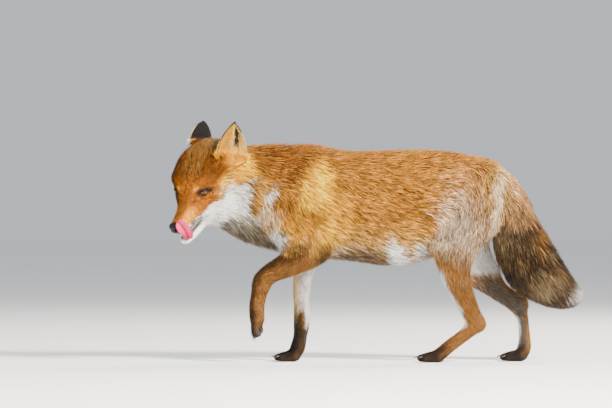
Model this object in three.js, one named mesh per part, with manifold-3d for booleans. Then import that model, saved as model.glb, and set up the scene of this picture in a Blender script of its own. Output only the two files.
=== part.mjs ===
// Red fox, life size, walking with its head low and turned, licking its nose.
// Millimetres, +Z up. The fox faces -X and its left side faces -Y.
import * as THREE from 'three';
import Module from 'manifold-3d';

const wasm = await Module();
wasm.setup();
const { Manifold, Mesh } = wasm;

// ---------- driving sizes ----------
const GAP = 0.3;               // clear cut between neighbours
const FLATNESS = 0.12;         // slivers and near-flat joins below this are merged
const HIP_HEIGHT = 304;
const HIP_X = 163;
const BACK_HEIGHT = 371;       // top of the coat along the back
const BELLY_HEIGHT = 172;      // lowest fur of the belly line
const EYE_RADIUS = 10;
const TAIL_RADIUS = 52;
const FORE_STEP_Y = 12;        // planted right fore paw, close to the midline
const HIND_STEP_Y = 32;
const NOSE_TIP = [-356.5, -108, 230.5];
const HEAD_PITCH = 37.7;       // degrees, nose down
const HEAD_YAW = 56.2;         // degrees, nose turned to the fox's left
const HEAD_ROLL = -2.6;        // degrees, left side lower

// ---------- small vector kit ----------
const add = (a, b) => [a[0] + b[0], a[1] + b[1], a[2] + b[2]];
const sub = (a, b) => [a[0] - b[0], a[1] - b[1], a[2] - b[2]];
const mul = (a, s) => [a[0] * s, a[1] * s, a[2] * s];
const dot = (a, b) => a[0] * b[0] + a[1] * b[1] + a[2] * b[2];
const cross = (a, b) => [
  a[1] * b[2] - a[2] * b[1],
  a[2] * b[0] - a[0] * b[2],
  a[0] * b[1] - a[1] * b[0],
];
const unit = (a) => mul(a, 1 / Math.hypot(...a));
const rad = (degrees) => (degrees * Math.PI) / 180;

// ---------- head frame: forward, left and up of the skull ----------
const cp = Math.cos(rad(HEAD_PITCH));
const sp = Math.sin(rad(HEAD_PITCH));
const cy = Math.cos(rad(HEAD_YAW));
const sy = Math.sin(rad(HEAD_YAW));
const headForward = [-cp * cy, -cp * sy, -sp];
const levelLeft = [sy, -cy, 0];
const levelUp = [-sp * cy, -sp * sy, cp];
const roll = rad(HEAD_ROLL);
const headLeft = add(mul(levelLeft, Math.cos(roll)), mul(levelUp, Math.sin(roll)));
const headUp = add(mul(levelLeft, -Math.sin(roll)), mul(levelUp, Math.cos(roll)));

// a point of the head: distance behind the nose tip, to the left, upward
function onHead(behind, left, up) {
  const along = add(NOSE_TIP, mul(headForward, -behind));
  return add(along, add(mul(headLeft, left), mul(headUp, up)));
}

// ---------- limbs: smooth chains with an oval section ----------
function catmull(a, b, c, d, t) {
  const t2 = t * t;
  const t3 = t2 * t;
  return a.map((_, i) => 0.5 * (2 * b[i] + (c[i] - a[i]) * t
    + (2 * a[i] - 5 * b[i] + 4 * c[i] - d[i]) * t2
    + (3 * b[i] - a[i] - 3 * c[i] + d[i]) * t3));
}

// stations are [x, y, z, half width, half height]; side is the width's direction
function limb(stations, blend, options = {}) {
  const { side = [0, 1, 0], cap = 0.9, pieces = 3 } = options;
  const fine = [];
  for (let i = 0; i + 1 < stations.length; i += 1) {
    const before = stations[Math.max(i - 1, 0)];
    const after = stations[Math.min(i + 2, stations.length - 1)];
    for (let j = 0; j < pieces; j += 1) {
      fine.push(catmull(before, stations[i], stations[i + 1], after, j / pieces));
    }
  }
  fine.push(stations[stations.length - 1]);
  const segments = [];
  for (let i = 0; i + 1 < fine.length; i += 1) {
    const from = fine[i].slice(0, 3);
    const to = fine[i + 1].slice(0, 3);
    const length = Math.hypot(...sub(to, from));
    const along = mul(sub(to, from), 1 / length);
    const across = unit(sub(side, mul(along, dot(side, along))));
    segments.push({
      from, length, along, across, upward: cross(along, across),
      w0: fine[i][3], h0: fine[i][4], w1: fine[i + 1][3], h1: fine[i + 1][4],
      capBack: i === 0 ? cap : 0.6, capFront: i + 2 === fine.length ? cap : 0.6,
    });
  }
  const middle = fine[Math.floor(fine.length / 2)].slice(0, 3);
  const extent = (f) => Math.hypot(...sub(f.slice(0, 3), middle)) + Math.max(f[3], f[4]);
  const reach = Math.max(...fine.map(extent));
  return { segments, blend, middle, reach };
}

// a closed skin drawn straight round a chain, with a ring of points at each station
function sweep(chain, around) {
  const points = [];
  const faces = [];
  const rings = [];
  const last = chain.segments[chain.segments.length - 1];
  const stops = chain.segments.map((s) => [s.from, s, s.w0, s.h0]);
  stops.push([add(last.from, mul(last.along, last.length)), last, last.w1, last.h1]);
  for (const [at, s, w, h] of stops) {
    const ring = [];
    for (let i = 0; i < around; i += 1) {
      const angle = (2 * Math.PI * i) / around;
      ring.push(points.length);
      points.push(add(at, add(mul(s.across, w * Math.cos(angle)), mul(s.upward, h * Math.sin(angle)))));
    }
    rings.push(ring);
  }
  for (let r = 0; r + 1 < rings.length; r += 1) {
    for (let i = 0; i < around; i += 1) {
      const j = (i + 1) % around;
      faces.push([rings[r][i], rings[r][j], rings[r + 1][j]]);
      faces.push([rings[r][i], rings[r + 1][j], rings[r + 1][i]]);
    }
  }
  const closing = [[rings[0], stops[0], -1], [rings[rings.length - 1], stops[stops.length - 1], 1]];
  for (const [ring, [at, s, w, h], sign] of closing) {
    points.push(add(at, mul(s.along, sign * Math.min(w, h) * 0.8)));
    for (let i = 0; i < around; i += 1) {
      const pair = [ring[i], ring[(i + 1) % around]];
      faces.push(sign < 0 ? [pair[1], pair[0], points.length - 1] : [pair[0], pair[1], points.length - 1]);
    }
  }
  return solidFrom(points, faces);
}

function limbDistance(chain, p) {
  const far = Math.hypot(...sub(p, chain.middle)) - chain.reach;
  if (far > 90) {
    return far;
  }
  let best = 1e9;
  for (const s of chain.segments) {
    const d = sub(p, s.from);
    const run = dot(d, s.along);
    const t = Math.min(Math.max(run / s.length, 0), 1);
    const w = s.w0 + (s.w1 - s.w0) * t;
    const h = s.h0 + (s.h1 - s.h0) * t;
    const c = (t === 0 ? s.capBack : s.capFront) * Math.min(w, h);
    const a = dot(d, s.across) / w;
    const b = dot(d, s.upward) / h;
    const e = (run - t * s.length) / c;
    const k0 = Math.hypot(a, b, e);
    const k1 = Math.hypot(a / w, b / h, e / c);
    const value = k1 < 1e-9 ? -Math.min(w, h) : (k0 * (k0 - 1)) / k1;
    best = Math.min(best, value);
  }
  return best;
}

// lesser of two distances with a fillet of size k between the two shapes
function blendMin(a, b, k) {
  const h = Math.max(k - Math.abs(a - b), 0) / k;
  return Math.min(a, b) - h * h * k * 0.25;
}

function fieldOf(chains) {
  return (p) => {
    let total = 1e9;
    for (const chain of chains) {
      total = total > 1e8 ? limbDistance(chain, p) : blendMin(total, limbDistance(chain, p), chain.blend);
    }
    return total;
  };
}

// ---------- the body ----------
const bodyMid = (BACK_HEIGHT + BELLY_HEIGHT) / 2;
const bodyHalf = (BACK_HEIGHT - BELLY_HEIGHT) / 2;

const trunk = limb([
  [-150, 0, bodyMid + 12, 52, 88],
  [-110, 0, bodyMid + 6, 64, 97],
  [-40, 0, bodyMid + 1, 70, bodyHalf - 1],
  [30, 0, bodyMid - 2.5, 71, bodyHalf + 4.5],
  [85, 0, bodyMid + 6.5, 66, bodyHalf - 2.5],
  [140, 0, bodyMid + 16, 62, bodyHalf - 17],
  [184, 0, bodyMid + 18, 52, 64],
  [196, 0, bodyMid + 18, 42, 50],
], 1, { cap: 0.45 });

const neck = limb([
  [-118, 0, 295, 56, 79],
  [-180, -2, 290, 55, 94],
  [-222, -8, 296.5, 54, 88.5],
  [-254, -14, 305.5, 51, 74.5],
  [-288, -18, 320, 47, 56],
], 40);

function foreQuarter(s, shoulder, elbow) {
  return limb([
    [shoulder[0] + 52, s * 34, 350, 20, 30],
    [shoulder[0] + 10, s * 46, 300, 24, 38],
    [shoulder[0], s * 48, shoulder[2], 26, 40],
    [(shoulder[0] + elbow[0]) / 2, s * 49, (shoulder[2] + elbow[2]) / 2 - 6, 24, 38],
    [elbow[0], elbow[1], elbow[2], 20, 29],
  ], 26);
}

// four toes spread about a paw's middle: reach forward, drop, level of the tips
function toes(root, forward, spread, length, lift, thick) {
  const chains = [];
  const across = unit(cross(forward, [0, 0, 1]));
  for (let i = 0; i < 4; i += 1) {
    const place = i - 1.5;
    const shorter = Math.abs(place) > 1 ? 0.78 : 1;
    const start = add(root, mul(across, place * spread * 0.8));
    const middle = add(add(start, mul(forward, length * shorter * 0.55)), [0, 0, lift[0]]);
    const tip = add(add(add(start, mul(forward, length * shorter)), mul(across, place * spread * 0.25)),
      [0, 0, lift[1]]);
    chains.push(limb([
      [...start, thick, thick],
      [...middle, thick * 0.95, thick * 0.95],
      [...tip, thick * 0.72, thick * 0.7],
    ], 5, { side: across, pieces: 2, cap: 1 }));
  }
  return chains;
}

// left foreleg: swinging forward, wrist bent and paw hanging
const leftElbow = [-112, -52, 194];
const leftForeQuarter = foreQuarter(-1, [-165, -50, 264], leftElbow);
const leftForearm = limb([
  [-104, -52, 202, 19, 30],
  [-128, -51, 186, 20, 28],
  [-163, -46, 168, 17, 23],
  [-196, -42, 151, 14.5, 18],
  [-205, -41, 134, 14, 16],
], 18);
const leftForePaw = [
  limb([
    [-201, -41, 142, 14, 16],
    [-208, -40, 120, 12.5, 15],
    [-212, -39, 96, 13.5, 14.5],
    [-211, -38, 76, 17, 14],
  ], 10),
  ...toes([-211, -38, 74], unit([-0.1, 0.03, -1]), 9, 26, [0, 0], 8.5),
];

// right foreleg: planted, upright
const rightElbow = [-118, 50, 204];
const rightForeQuarter = foreQuarter(1, [-160, 50, 266], rightElbow);
const rightForearm = limb([
  [-116, 50, 212, 19, 29],
  [-122, 44, 190, 18, 24],
  [-131, 34, 157, 16, 19],
  [-134, 24, 118, 14, 16],
  [-133, 17, 88, 14, 14],
  [-134, 14, 60, 12.5, 12],
], 18);
const rightForePaw = [
  limb([
    [-133, 17, 84, 13, 13],
    [-135, 14, 52, 13, 12.5],
    [-140, FORE_STEP_Y, 26, 16, 14],
    [-147, FORE_STEP_Y, 10.5, 18, 12],
  ], 10),
  ...toes([-148, FORE_STEP_Y, 10], [-1, 0, 0], 10, 28, [-1, -2.5], 9.8),
];

// hind legs: the left one under the body, the right one trailing
const leftKnee = [122, -50, 205];
const rightKnee = [128, 48, 190];
function thigh(s, knee) {
  return limb([
    [HIP_X + 8, s * 26, HIP_HEIGHT + 16, 28, 50],
    [HIP_X, s * 36, HIP_HEIGHT - 22, 30, 58],
    [(HIP_X + knee[0]) / 2 + 4, s * 44, (HIP_HEIGHT + knee[2]) / 2 - 14, 27, 55],
    [knee[0] + 8, knee[1], knee[2] - 4, 22, 38],
  ], 28);
}
const leftThigh = thigh(-1, leftKnee);
const leftShank = limb([
  [128, -50, 204, 22, 40],
  [132, -49, 172, 20, 33],
  [138, -45, 141, 17, 26],
  [149, -40, 116, 14, 21.5],
  [160, -36, 90, 12, 18.5],
  [171, -33, 68, 12.5, 16],
], 18);
const leftHeel = limb([
  [160, -35, 94, 8, 8],
  [178, -33, 70, 9.5, 10],
  [181, -33, 64, 9, 9],
], 8);
const leftMetatarsus = limb([
  [172, -33, 66, 12.5, 14],
  [148, -32, 46, 12, 12.5],
  [124, -HIND_STEP_Y, 28, 13.5, 12.5],
  [104, -HIND_STEP_Y, 11, 17, 12.5],
], 10);
const leftHindToes = toes([104, -HIND_STEP_Y, 10], [-1, 0, 0], 9.5, 30, [-1, -2.5], 9.8);

const rightThigh = thigh(1, rightKnee);
const rightShank = limb([
  [136, 47, 199, 21, 46],
  [161, 46, 177, 19, 44.5],
  [188, 43, 151, 15, 33],
  [208, 41, 128, 13.5, 21.5],
  [230, 39, 109, 13, 16.5],
  [246, 38, 98, 12.5, 15],
], 18);
const rightHeel = limb([
  [228, 39, 122, 8, 8],
  [254, 37, 108, 9, 9.5],
  [258, 37, 100, 9, 10],
], 8);
const rightMetatarsus = limb([
  [247, 38, 100, 12.5, 14],
  [255, 36, 76, 11.5, 11.5],
  [258, 35, 48, 11.5, 11],
  [258, 34, 24, 14, 13],
  [252, HIND_STEP_Y, 10.5, 17, 12],
], 10);
const rightHindToes = toes([250, HIND_STEP_Y, 10], [-1, 0, 0], 9.5, 29, [-1, -2.5], 9.8);

// tail: a heavy brush that hangs and swings away at its end
const tail = limb([
  [196, 0, 322, 26, 26],
  [216, 0, 303, 31, 33],
  [231, -2, 273, 36, 39],
  [239, -4, 240, 40, 46],
  [252.5, -6, 199, 45, TAIL_RADIUS + 2.5],
  [274, -6, 161.5, 48, TAIL_RADIUS + 4],
  [303, 4, 136, 46, TAIL_RADIUS - 7],
  [325, 32, 121, 38, 33],
  [338, 64, 118, 29, 26],
  [346, 92, 118, 17, 15],
], 30, { cap: 1.1 });

// ---------- the head ----------
// stations are [behind the nose, left, up, half width, half height]
function headLimb(stations, blend, options = {}) {
  const placed = stations.map((s) => [...onHead(s[0], s[1], s[2]), s[3], s[4]]);
  return limb(placed, blend, { side: headLeft, ...options });
}
const skull = headLimb([
  [14, 0, -5, 13.5, 13],
  [28, 0, -4.8, 16.2, 16],
  [44, 0, -4.3, 18.5, 18.8],
  [62, 0, -1.8, 23, 22.3],
  [80, 0, 2.5, 31, 28.5],
  [100, 0, 8, 42, 37],
  [118, 0, 11.5, 48, 42.5],
  [138, 0, 14, 51, 48],
  [158, 0, 17, 52, 50.5],
  [176, 0, 17, 47, 47],
], 16, { cap: 0.6 });
const cheeks = [-1, 1].map((s) => headLimb([
  [74, s * 18, -14, 10, 13],
  [96, s * 32, -16, 13, 20],
  [124, s * 45, -16, 16, 27],
  [152, s * 53, -15, 16, 30],
  [168, s * 50, -14, 13, 25],
], 14));
const brows = [-1, 1].map((s) => headLimb([
  [76, s * 13, 24, 7, 6],
  [88, s * 24, 33, 9, 7],
  [104, s * 36, 35, 9, 8],
], 10));
const jawFront = headLimb([
  [20, 0, -37.5, 9.5, 7.5],
  [40, 0, -38.5, 13.5, 11],
  [60, 0, -37, 17.5, 13],
  [84, 0, -33, 23, 16.5],
], 10, { cap: 0.8 });
const jawRear = headLimb([
  [82, 0, -33, 22, 16.5],
  [104, 0, -27, 29, 22],
  [132, 0, -20, 34, 26],
], 14, { cap: 0.8 });

const temples = [-1, 1].map((s) => headLimb([
  [104, s * 27, 37, 12, 12],
  [124, s * 30, 42, 14.5, 14.5],
  [146, s * 30, 44, 14, 14],
  [164, s * 26, 42, 12, 12],
], 14));
const headChains = [skull, ...cheeks, ...brows, ...temples, jawRear];

// ---------- meshing a field on a grid: one vertex in each crossed cell ----------
function gradient(field, p) {
  const e = 0.4;
  return [0, 1, 2].map((i) => {
    const q = [...p];
    q[i] += e;
    const plus = field(q);
    q[i] -= 2 * e;
    return (plus - field(q)) / (2 * e);
  });
}

function meshField(field, frame, low, high, step) {
  const n = [0, 1, 2].map((i) => Math.max(2, Math.round((high[i] - low[i]) / step[i])) + 1);
  const size = [0, 1, 2].map((i) => (high[i] - low[i]) / (n[i] - 1));
  const world = (i, j, k) => add(frame.at, add(mul(frame.axes[0], low[0] + i * size[0]),
    add(mul(frame.axes[1], low[1] + j * size[1]), mul(frame.axes[2], low[2] + k * size[2]))));
  const index = (i, j, k) => (k * n[1] + j) * n[0] + i;
  const value = new Float64Array(n[0] * n[1] * n[2]);
  for (let k = 0; k < n[2]; k += 1) {
    for (let j = 0; j < n[1]; j += 1) {
      for (let i = 0; i < n[0]; i += 1) {
        const rim = i === 0 || j === 0 || k === 0 || i === n[0] - 1 || j === n[1] - 1 || k === n[2] - 1;
        const v = field(world(i, j, k));
        value[index(i, j, k)] = rim ? Math.max(v, 1) : v;
      }
    }
  }
  const corner = [[0, 0, 0], [1, 0, 0], [0, 1, 0], [1, 1, 0], [0, 0, 1], [1, 0, 1], [0, 1, 1], [1, 1, 1]];
  const edges = [[0, 1], [2, 3], [4, 5], [6, 7], [0, 2], [1, 3], [4, 6], [5, 7],
    [0, 4], [1, 5], [2, 6], [3, 7]];
  const vertexOf = new Map();
  const points = [];
  for (let k = 0; k + 1 < n[2]; k += 1) {
    for (let j = 0; j + 1 < n[1]; j += 1) {
      for (let i = 0; i + 1 < n[0]; i += 1) {
        const v = corner.map((c) => value[index(i + c[0], j + c[1], k + c[2])]);
        const inside = v.filter((x) => x < 0).length;
        if (inside === 0 || inside === 8) {
          continue;
        }
        let sum = [0, 0, 0];
        let count = 0;
        for (const [a, b] of edges) {
          if ((v[a] < 0) !== (v[b] < 0)) {
            const t = v[a] / (v[a] - v[b]);
            sum = add(sum, [0, 1, 2].map((m) => corner[a][m] + (corner[b][m] - corner[a][m]) * t));
            count += 1;
          }
        }
        const place = mul(sum, 1 / count);
        let p = world(i + place[0], j + place[1], k + place[2]);
        const start = p;
        for (let round = 0; round < 3; round += 1) {
          const g = gradient(field, p);
          p = sub(p, mul(g, (0.9 * field(p)) / Math.max(dot(g, g), 0.05)));
        }
        const moved = sub(p, start);
        const limit = 0.5 * Math.min(...size);
        const far = Math.hypot(...moved);
        points.push(far > limit ? add(start, mul(moved, limit / far)) : p);
        vertexOf.set(index(i, j, k), points.length - 1);
      }
    }
  }
  const faces = [];
  const quad = (a, b, c, d, flip) => {
    const diagonal = Math.hypot(...sub(points[a], points[c])) < Math.hypot(...sub(points[b], points[d]));
    const pair = diagonal ? [[a, b, c], [a, c, d]] : [[a, b, d], [b, c, d]];
    for (const f of pair) {
      faces.push(flip ? [f[0], f[2], f[1]] : f);
    }
  };
  for (let k = 0; k + 1 < n[2]; k += 1) {
    for (let j = 0; j + 1 < n[1]; j += 1) {
      for (let i = 0; i + 1 < n[0]; i += 1) {
        const here = value[index(i, j, k)] < 0;
        if (j > 0 && k > 0 && here !== value[index(i + 1, j, k)] < 0) {
          quad(...[[0, -1, -1], [0, 0, -1], [0, 0, 0], [0, -1, 0]]
            .map((o) => vertexOf.get(index(i + o[0], j + o[1], k + o[2]))), !here);
        }
        if (i > 0 && k > 0 && here !== value[index(i, j + 1, k)] < 0) {
          quad(...[[-1, 0, -1], [-1, 0, 0], [0, 0, 0], [0, 0, -1]]
            .map((o) => vertexOf.get(index(i + o[0], j + o[1], k + o[2]))), !here);
        }
        if (i > 0 && j > 0 && here !== value[index(i, j, k + 1)] < 0) {
          quad(...[[-1, -1, 0], [0, -1, 0], [0, 0, 0], [-1, 0, 0]]
            .map((o) => vertexOf.get(index(i + o[0], j + o[1], k + o[2]))), !here);
        }
      }
    }
  }
  return solidFrom(points, faces);
}

function solidFrom(points, faces) {
  return new Manifold(new Mesh({
    numProp: 3,
    vertProperties: Float32Array.from(points.flat()),
    triVerts: Uint32Array.from(faces.flat()),
  }));
}

// ---------- cutting and fitting ----------
// keeps the side that the normal points to, half a gap away from the plane
function keep(solid, normal, point) {
  const n = unit(normal);
  return solid.trimByPlane(n, dot(n, point) + GAP / 2);
}

// the same plane facing the other way
const flip = ([normal, point]) => [mul(normal, -1), point];

// keeps what lies in front of every plane of a list: [normal, point] pairs
function keepAll(solid, planes) {
  return planes.reduce((s, [normal, point]) => keep(s, normal, point), solid);
}

function largest(solid) {
  const bodies = solid.decompose();
  return bodies.reduce((a, b) => (a.volume() > b.volume() ? a : b));
}

// the same solid with its skin moved out by a distance
function grow(solid, distance) {
  const mesh = solid.getMesh();
  const count = mesh.vertProperties.length / mesh.numProp;
  const points = [];
  for (let i = 0; i < count; i += 1) {
    points.push([0, 1, 2].map((m) => mesh.vertProperties[i * mesh.numProp + m]));
  }
  const normals = points.map(() => [0, 0, 0]);
  const faces = [];
  for (let i = 0; i < mesh.triVerts.length; i += 3) {
    const f = [mesh.triVerts[i], mesh.triVerts[i + 1], mesh.triVerts[i + 2]];
    faces.push(f);
    const n = cross(sub(points[f[1]], points[f[0]]), sub(points[f[2]], points[f[0]]));
    for (const v of f) {
      normals[v] = add(normals[v], n);
    }
  }
  return solidFrom(points.map((p, i) => add(p, mul(unit(normals[i]), distance))), faces);
}

function cutBy(solid, others) {
  return others.reduce((s, other) => s.subtract(grow(other, GAP * 1.4)), solid);
}

const upright = { at: [0, 0, 0], axes: [[1, 0, 0], [0, 1, 0], [0, 0, 1]] };
// a grid that follows a limb: its first axis runs from one point to another
function alongFrame(from, to, side = [0, 1, 0]) {
  const along = unit(sub(to, from));
  const across = unit(sub(side, mul(along, dot(side, along))));
  return { at: from, axes: [along, across, cross(along, across)] };
}
const headFrame = { at: NOSE_TIP, axes: [mul(headForward, -1), mul(headLeft, -1), headUp] };

// ---------- pieces of the legs ----------
const SOLE = [[0, 0, 1], [0, 0, -GAP / 2]];   // flat under the planted feet

const leftForeAll = fieldOf([leftForearm, ...leftForePaw]);
const leftForeLeg = meshField(leftForeAll, alongFrame([-88, -52, 210], [-205, -41, 143]),
  [-32, -44, -52], [152, 44, 44], [16, 11.5, 12]);
const leftWrist = [-205, -41, 131];
const leftForearmSolid = keepAll(leftForeLeg, [[[0.25, 0, 1], leftWrist]]);
const leftPawSolid = keepAll(meshField(leftForeAll, upright,
  [-248, -78, 24], [-176, -4, 158], [9.5, 8.5, 12]), [[[-0.25, 0, -1], leftWrist]]);

const rightForeAll = fieldOf([rightForearm, ...rightForePaw]);
const rightForeLeg = meshField(rightForeAll, alongFrame([-116, 52, 262], [-134, 16, 58]),
  [-4, -46, -46], [210, 46, 50], [16, 11.5, 12]);
const rightWrist = [-134, 15, 70];
const rightForearmSolid = keepAll(rightForeLeg, [[[0, 0, 1], rightWrist]]);
const rightPawSolid = keepAll(meshField(rightForeAll, upright,
  [-200, -28, -10], [-102, 52, 96], [9, 8, 10.5]), [[[0, 0, -1], rightWrist], SOLE]);

const leftHindAll = fieldOf([leftThigh, leftShank, leftHeel, leftMetatarsus, ...leftHindToes]);
const leftKneeCut = [[0.2, 0, -1], [131, -49, 174]];
const leftHockCut = [[-0.75, 0, -1], [170, -33, 66]];
const leftShankSolid = keepAll(meshField(leftHindAll, alongFrame([124, -50, 206], [171, -33, 60]),
  [-12, -44, -70], [186, 44, 60], [17, 12.6, 14]), [leftKneeCut, flip(leftHockCut)]);
const leftFootCut = [[-1, 0, -0.6], [126, -32, 28]];
const leftFootFrame = alongFrame([186, -33, 78], [104, -32, 14]);
const leftMetatarsusSolid = keepAll(meshField(leftHindAll, leftFootFrame,
  [-30, -34, -40], [98, 34, 40], [13, 10, 10]), [leftHockCut, flip(leftFootCut)]);
const leftHindPawSolid = keepAll(meshField(leftHindAll, upright,
  [50, -70, -10], [146, 6, 60], [9, 8, 8.5]), [leftFootCut, SOLE]);

const rightHindAll = fieldOf([rightThigh, rightShank, rightHeel, rightMetatarsus, ...rightHindToes]);
const rightKneeCut = [[0.72, 0, -0.69], [150, 46, 172]];
const rightHockCut = [[0.35, 0, -1], [250, 38, 88]];
const rightShankSolid = keepAll(meshField(rightHindAll, alongFrame([128, 47, 198], [250, 38, 96]),
  [-12, -42, -58], [178, 42, 54], [17, 12.6, 14]), [rightKneeCut, flip(rightHockCut)]);
const rightFootCut = [[-0.3, 0, -1], [256, 34, 34]];
const rightMetatarsusSolid = keepAll(meshField(rightHindAll, upright,
  [220, 2, 8], [294, 72, 138], [10.5, 10, 13]), [rightHockCut, flip(rightFootCut)]);
const rightHindPawSolid = keepAll(meshField(rightHindAll, upright,
  [198, -6, -10], [294, 72, 66], [9, 8, 8.5]), [rightFootCut, SOLE]);

// ---------- pieces of the head ----------
const headField = fieldOf([...headChains, neck]);
const headBack = [[0.848, 0.529, 0.03], [-244, -12, 318]];
const headWhole = keepAll(meshField(headField, headFrame,
  [-14, -96, -112], [264, 96, 98], [13.3, 13, 12.8]), [flip(headBack)]);

// an eye sits with a small cap of it clear of the lids
function eyeAt(s) {
  const target = onHead(84, s * 27, 21);
  const field = fieldOf(headChains);
  let p = target;
  for (let i = 0; i < 12; i += 1) {
    const g = gradient(field, p);
    p = sub(p, mul(g, (0.7 * field(p)) / dot(g, g)));
  }
  return { skin: p, out: unit(gradient(field, p)) };
}
const eyeCentre = ({ skin, out }) => sub(skin, mul(out, EYE_RADIUS - 1.5));
// the almond hollow between the lids, lying along the slant of the eye
function lidOpening(s) {
  const { skin, out } = eyeAt(s);
  const slant = unit(add(mul(headForward, -1), add(mul(headLeft, s * 0.55), mul(headUp, 0.4))));
  const wide = limb([
    [...add(skin, add(mul(out, 5), mul(slant, -7))), 4.5, 7],
    [...add(skin, add(mul(out, 5), mul(slant, 7))), 5.5, 8],
  ], 1, { pieces: 2, side: cross(out, slant), cap: 1 });
  return sweep(wide, 8);
}
function ball(centre, radius) {
  const sphere = new THREE.SphereGeometry(radius, 10, 8);
  const points = [];
  const faces = [];
  const seen = new Map();
  const place = sphere.attributes.position;
  const same = [];
  for (let i = 0; i < place.count; i += 1) {
    const p = [place.getX(i), place.getY(i), place.getZ(i)];
    const key = p.map((v) => Math.round(v * 1000)).join();
    if (!seen.has(key)) {
      seen.set(key, points.length);
      points.push(add(centre, p));
    }
    same.push(seen.get(key));
  }
  for (let i = 0; i < sphere.index.count; i += 3) {
    const f = [0, 1, 2].map((m) => same[sphere.index.getX(i + m)]);
    if (f[0] !== f[1] && f[1] !== f[2] && f[2] !== f[0]) {
      faces.push(f);
    }
  }
  return solidFrom(points, faces);
}
const eyeLeft = ball(eyeCentre(eyeAt(1)), EYE_RADIUS);
const eyeRight = ball(eyeCentre(eyeAt(-1)), EYE_RADIUS);

// an ear: a pointed leaf, hollow towards its opening
const EAR = { rows: 7, columns: 5, depth: 15, wall: 3.6, tip: 0.07 };
function eased(t) {
  const c = Math.min(Math.max(t, 0), 1);
  return c * c * (3 - 2 * c);
}

function ear(base, tip, opening, halfWidth, sunk, bulge, shoulder) {
  const length = Math.hypot(...sub(tip, base));
  const axis = unit(sub(tip, base));
  const facing = unit(sub(opening, mul(axis, dot(opening, axis))));
  const across = cross(axis, facing);
  const points = [];
  const narrowing = (t) => Math.max(1 - Math.max(t, 0) ** bulge, 0) ** shoulder;
  const flare = (t) => 1 - 0.8 * eased(-t / 0.35);
  const width = (t) => halfWidth * Math.max(narrowing(t), EAR.tip) * flare(t);
  for (const skin of [0, 1]) {
    for (let i = 0; i <= EAR.rows; i += 1) {
      const t = -sunk + (1 + sunk) * (1 - (1 - i / EAR.rows) ** 1.4);
      const hollow = EAR.depth * Math.sqrt(Math.max(1 - t, 0.02));
      for (let j = 0; j <= EAR.columns; j += 1) {
        const f = -1 + (2 * j) / EAR.columns;
        const back = hollow * (1 - f * f) + skin * EAR.wall * (1 - 0.35 * f * f) - hollow * 0.55;
        const p = add(add(base, mul(axis, length * t)), mul(across, width(t) * f * (1 + skin * 0.04)));
        points.push(sub(p, mul(facing, back)));
      }
    }
  }
  const row = EAR.columns + 1;
  const layer = (EAR.rows + 1) * row;
  const faces = [];
  const quad = (a, b, c, d) => faces.push([a, b, c], [a, c, d]);
  for (let i = 0; i < EAR.rows; i += 1) {
    for (let j = 0; j < EAR.columns; j += 1) {
      const a = i * row + j;
      quad(a, a + 1, a + row + 1, a + row);
      quad(layer + a, layer + a + row, layer + a + row + 1, layer + a + 1);
    }
    const l = i * row;
    const r = l + EAR.columns;
    quad(l, l + row, layer + l + row, layer + l);
    quad(r, layer + r, layer + r + row, r + row);
  }
  const top = EAR.rows * row;
  for (let j = 0; j < EAR.columns; j += 1) {
    quad(j, layer + j, layer + j + 1, j + 1);
    quad(top + j, top + j + 1, layer + top + j + 1, layer + top + j);
  }
  const solid = solidFrom(points, faces);
  return solid.volume() > 0 ? solid : solidFrom(points, faces.map((f) => [f[0], f[2], f[1]]));
}
const earLeftWhole = ear(onHead(155, 50.2, 43.6), onHead(185.9, 63.3, 95.9),
  add(headForward, mul(headLeft, 0.7)), 26.5, 0.22, 2.2, 0.85);
const farOpening = add(mul(headForward, -0.4), add(mul(headLeft, -0.8), mul(headUp, -0.47)));
const earRightWhole = ear(onHead(187, -23.5, 45.5), onHead(211, -23, 76.5), farOpening,
  21, 0.5, 1.7, 0.62);

const noseWhole = sweep(headLimb([
  [1.5, 0, -0.5, 5.6, 5],
  [5, 0, 0, 8.8, 7.6],
  [10, 0, 1, 9.8, 8.6],
  [16, 0, 3, 8.4, 7],
], 1, { pieces: 1 }), 12);

const jawWhole = keepAll(meshField(fieldOf([jawFront]), headFrame,
  [2, -38, -64], [106, 38, -6], [11.5, 10, 9.2]), [[headForward, onHead(82, 0, 0)]]);

// the tongue comes out over the left side of the lower lip and curls up over the nose
const tongueWhole = sweep(headLimb([
  [48, 3, -27, 8, 2.4],
  [32, 8, -28, 9, 2.8],
  [19, 13, -27.5, 9.5, 3],
  [10, 16, -20, 10, 3.2],
  [5, 15.5, -10, 9.5, 3.2],
  [2.5, 13.5, 0, 8.5, 3.2],
  [4, 11.5, 8, 5.5, 3],
], 1, { pieces: 2, side: sub(headLeft, mul(headForward, 0.8)) }), 8);

const headCut = largest(cutBy(headWhole, [noseWhole, eyeLeft, eyeRight])
  .subtract(lidOpening(1)).subtract(lidOpening(-1)));
const jawSolid = largest(cutBy(jawWhole, [headCut]));
const noseSolid = noseWhole;
const tongueSolid = largest(cutBy(tongueWhole, [headCut, jawSolid, noseSolid]));
const neckWhole = meshField(fieldOf([neck, trunk, leftForeQuarter, rightForeQuarter]), upright,
  [-344, -88, 154], [-130, 88, 414], [22, 21, 22]);

// ---------- pieces of the trunk ----------
const neckBack = [[1, 0, -0.2], [-176, 0, 285]];
const ribsFront = [[1, 0, 0], [-70, 0, 270]];
const bellyFront = [[1, 0, 0], [10, 0, 270]];
const rumpFront = [[1, 0, 0], [82, 0, 270]];

const neckSolid = largest(cutBy(keepAll(neckWhole, [headBack, flip(neckBack)]), [leftForeLeg]));

const frontWhole = meshField(fieldOf([trunk, neck, leftForeQuarter, rightForeQuarter]), upright,
  [-250, -100, 144], [-28, 100, 408], [23.5, 22.5, 23]);
const shoulderSolid = largest(cutBy(keepAll(frontWhole, [neckBack, flip(ribsFront)]),
  [leftForeLeg, rightForeLeg]));

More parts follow.
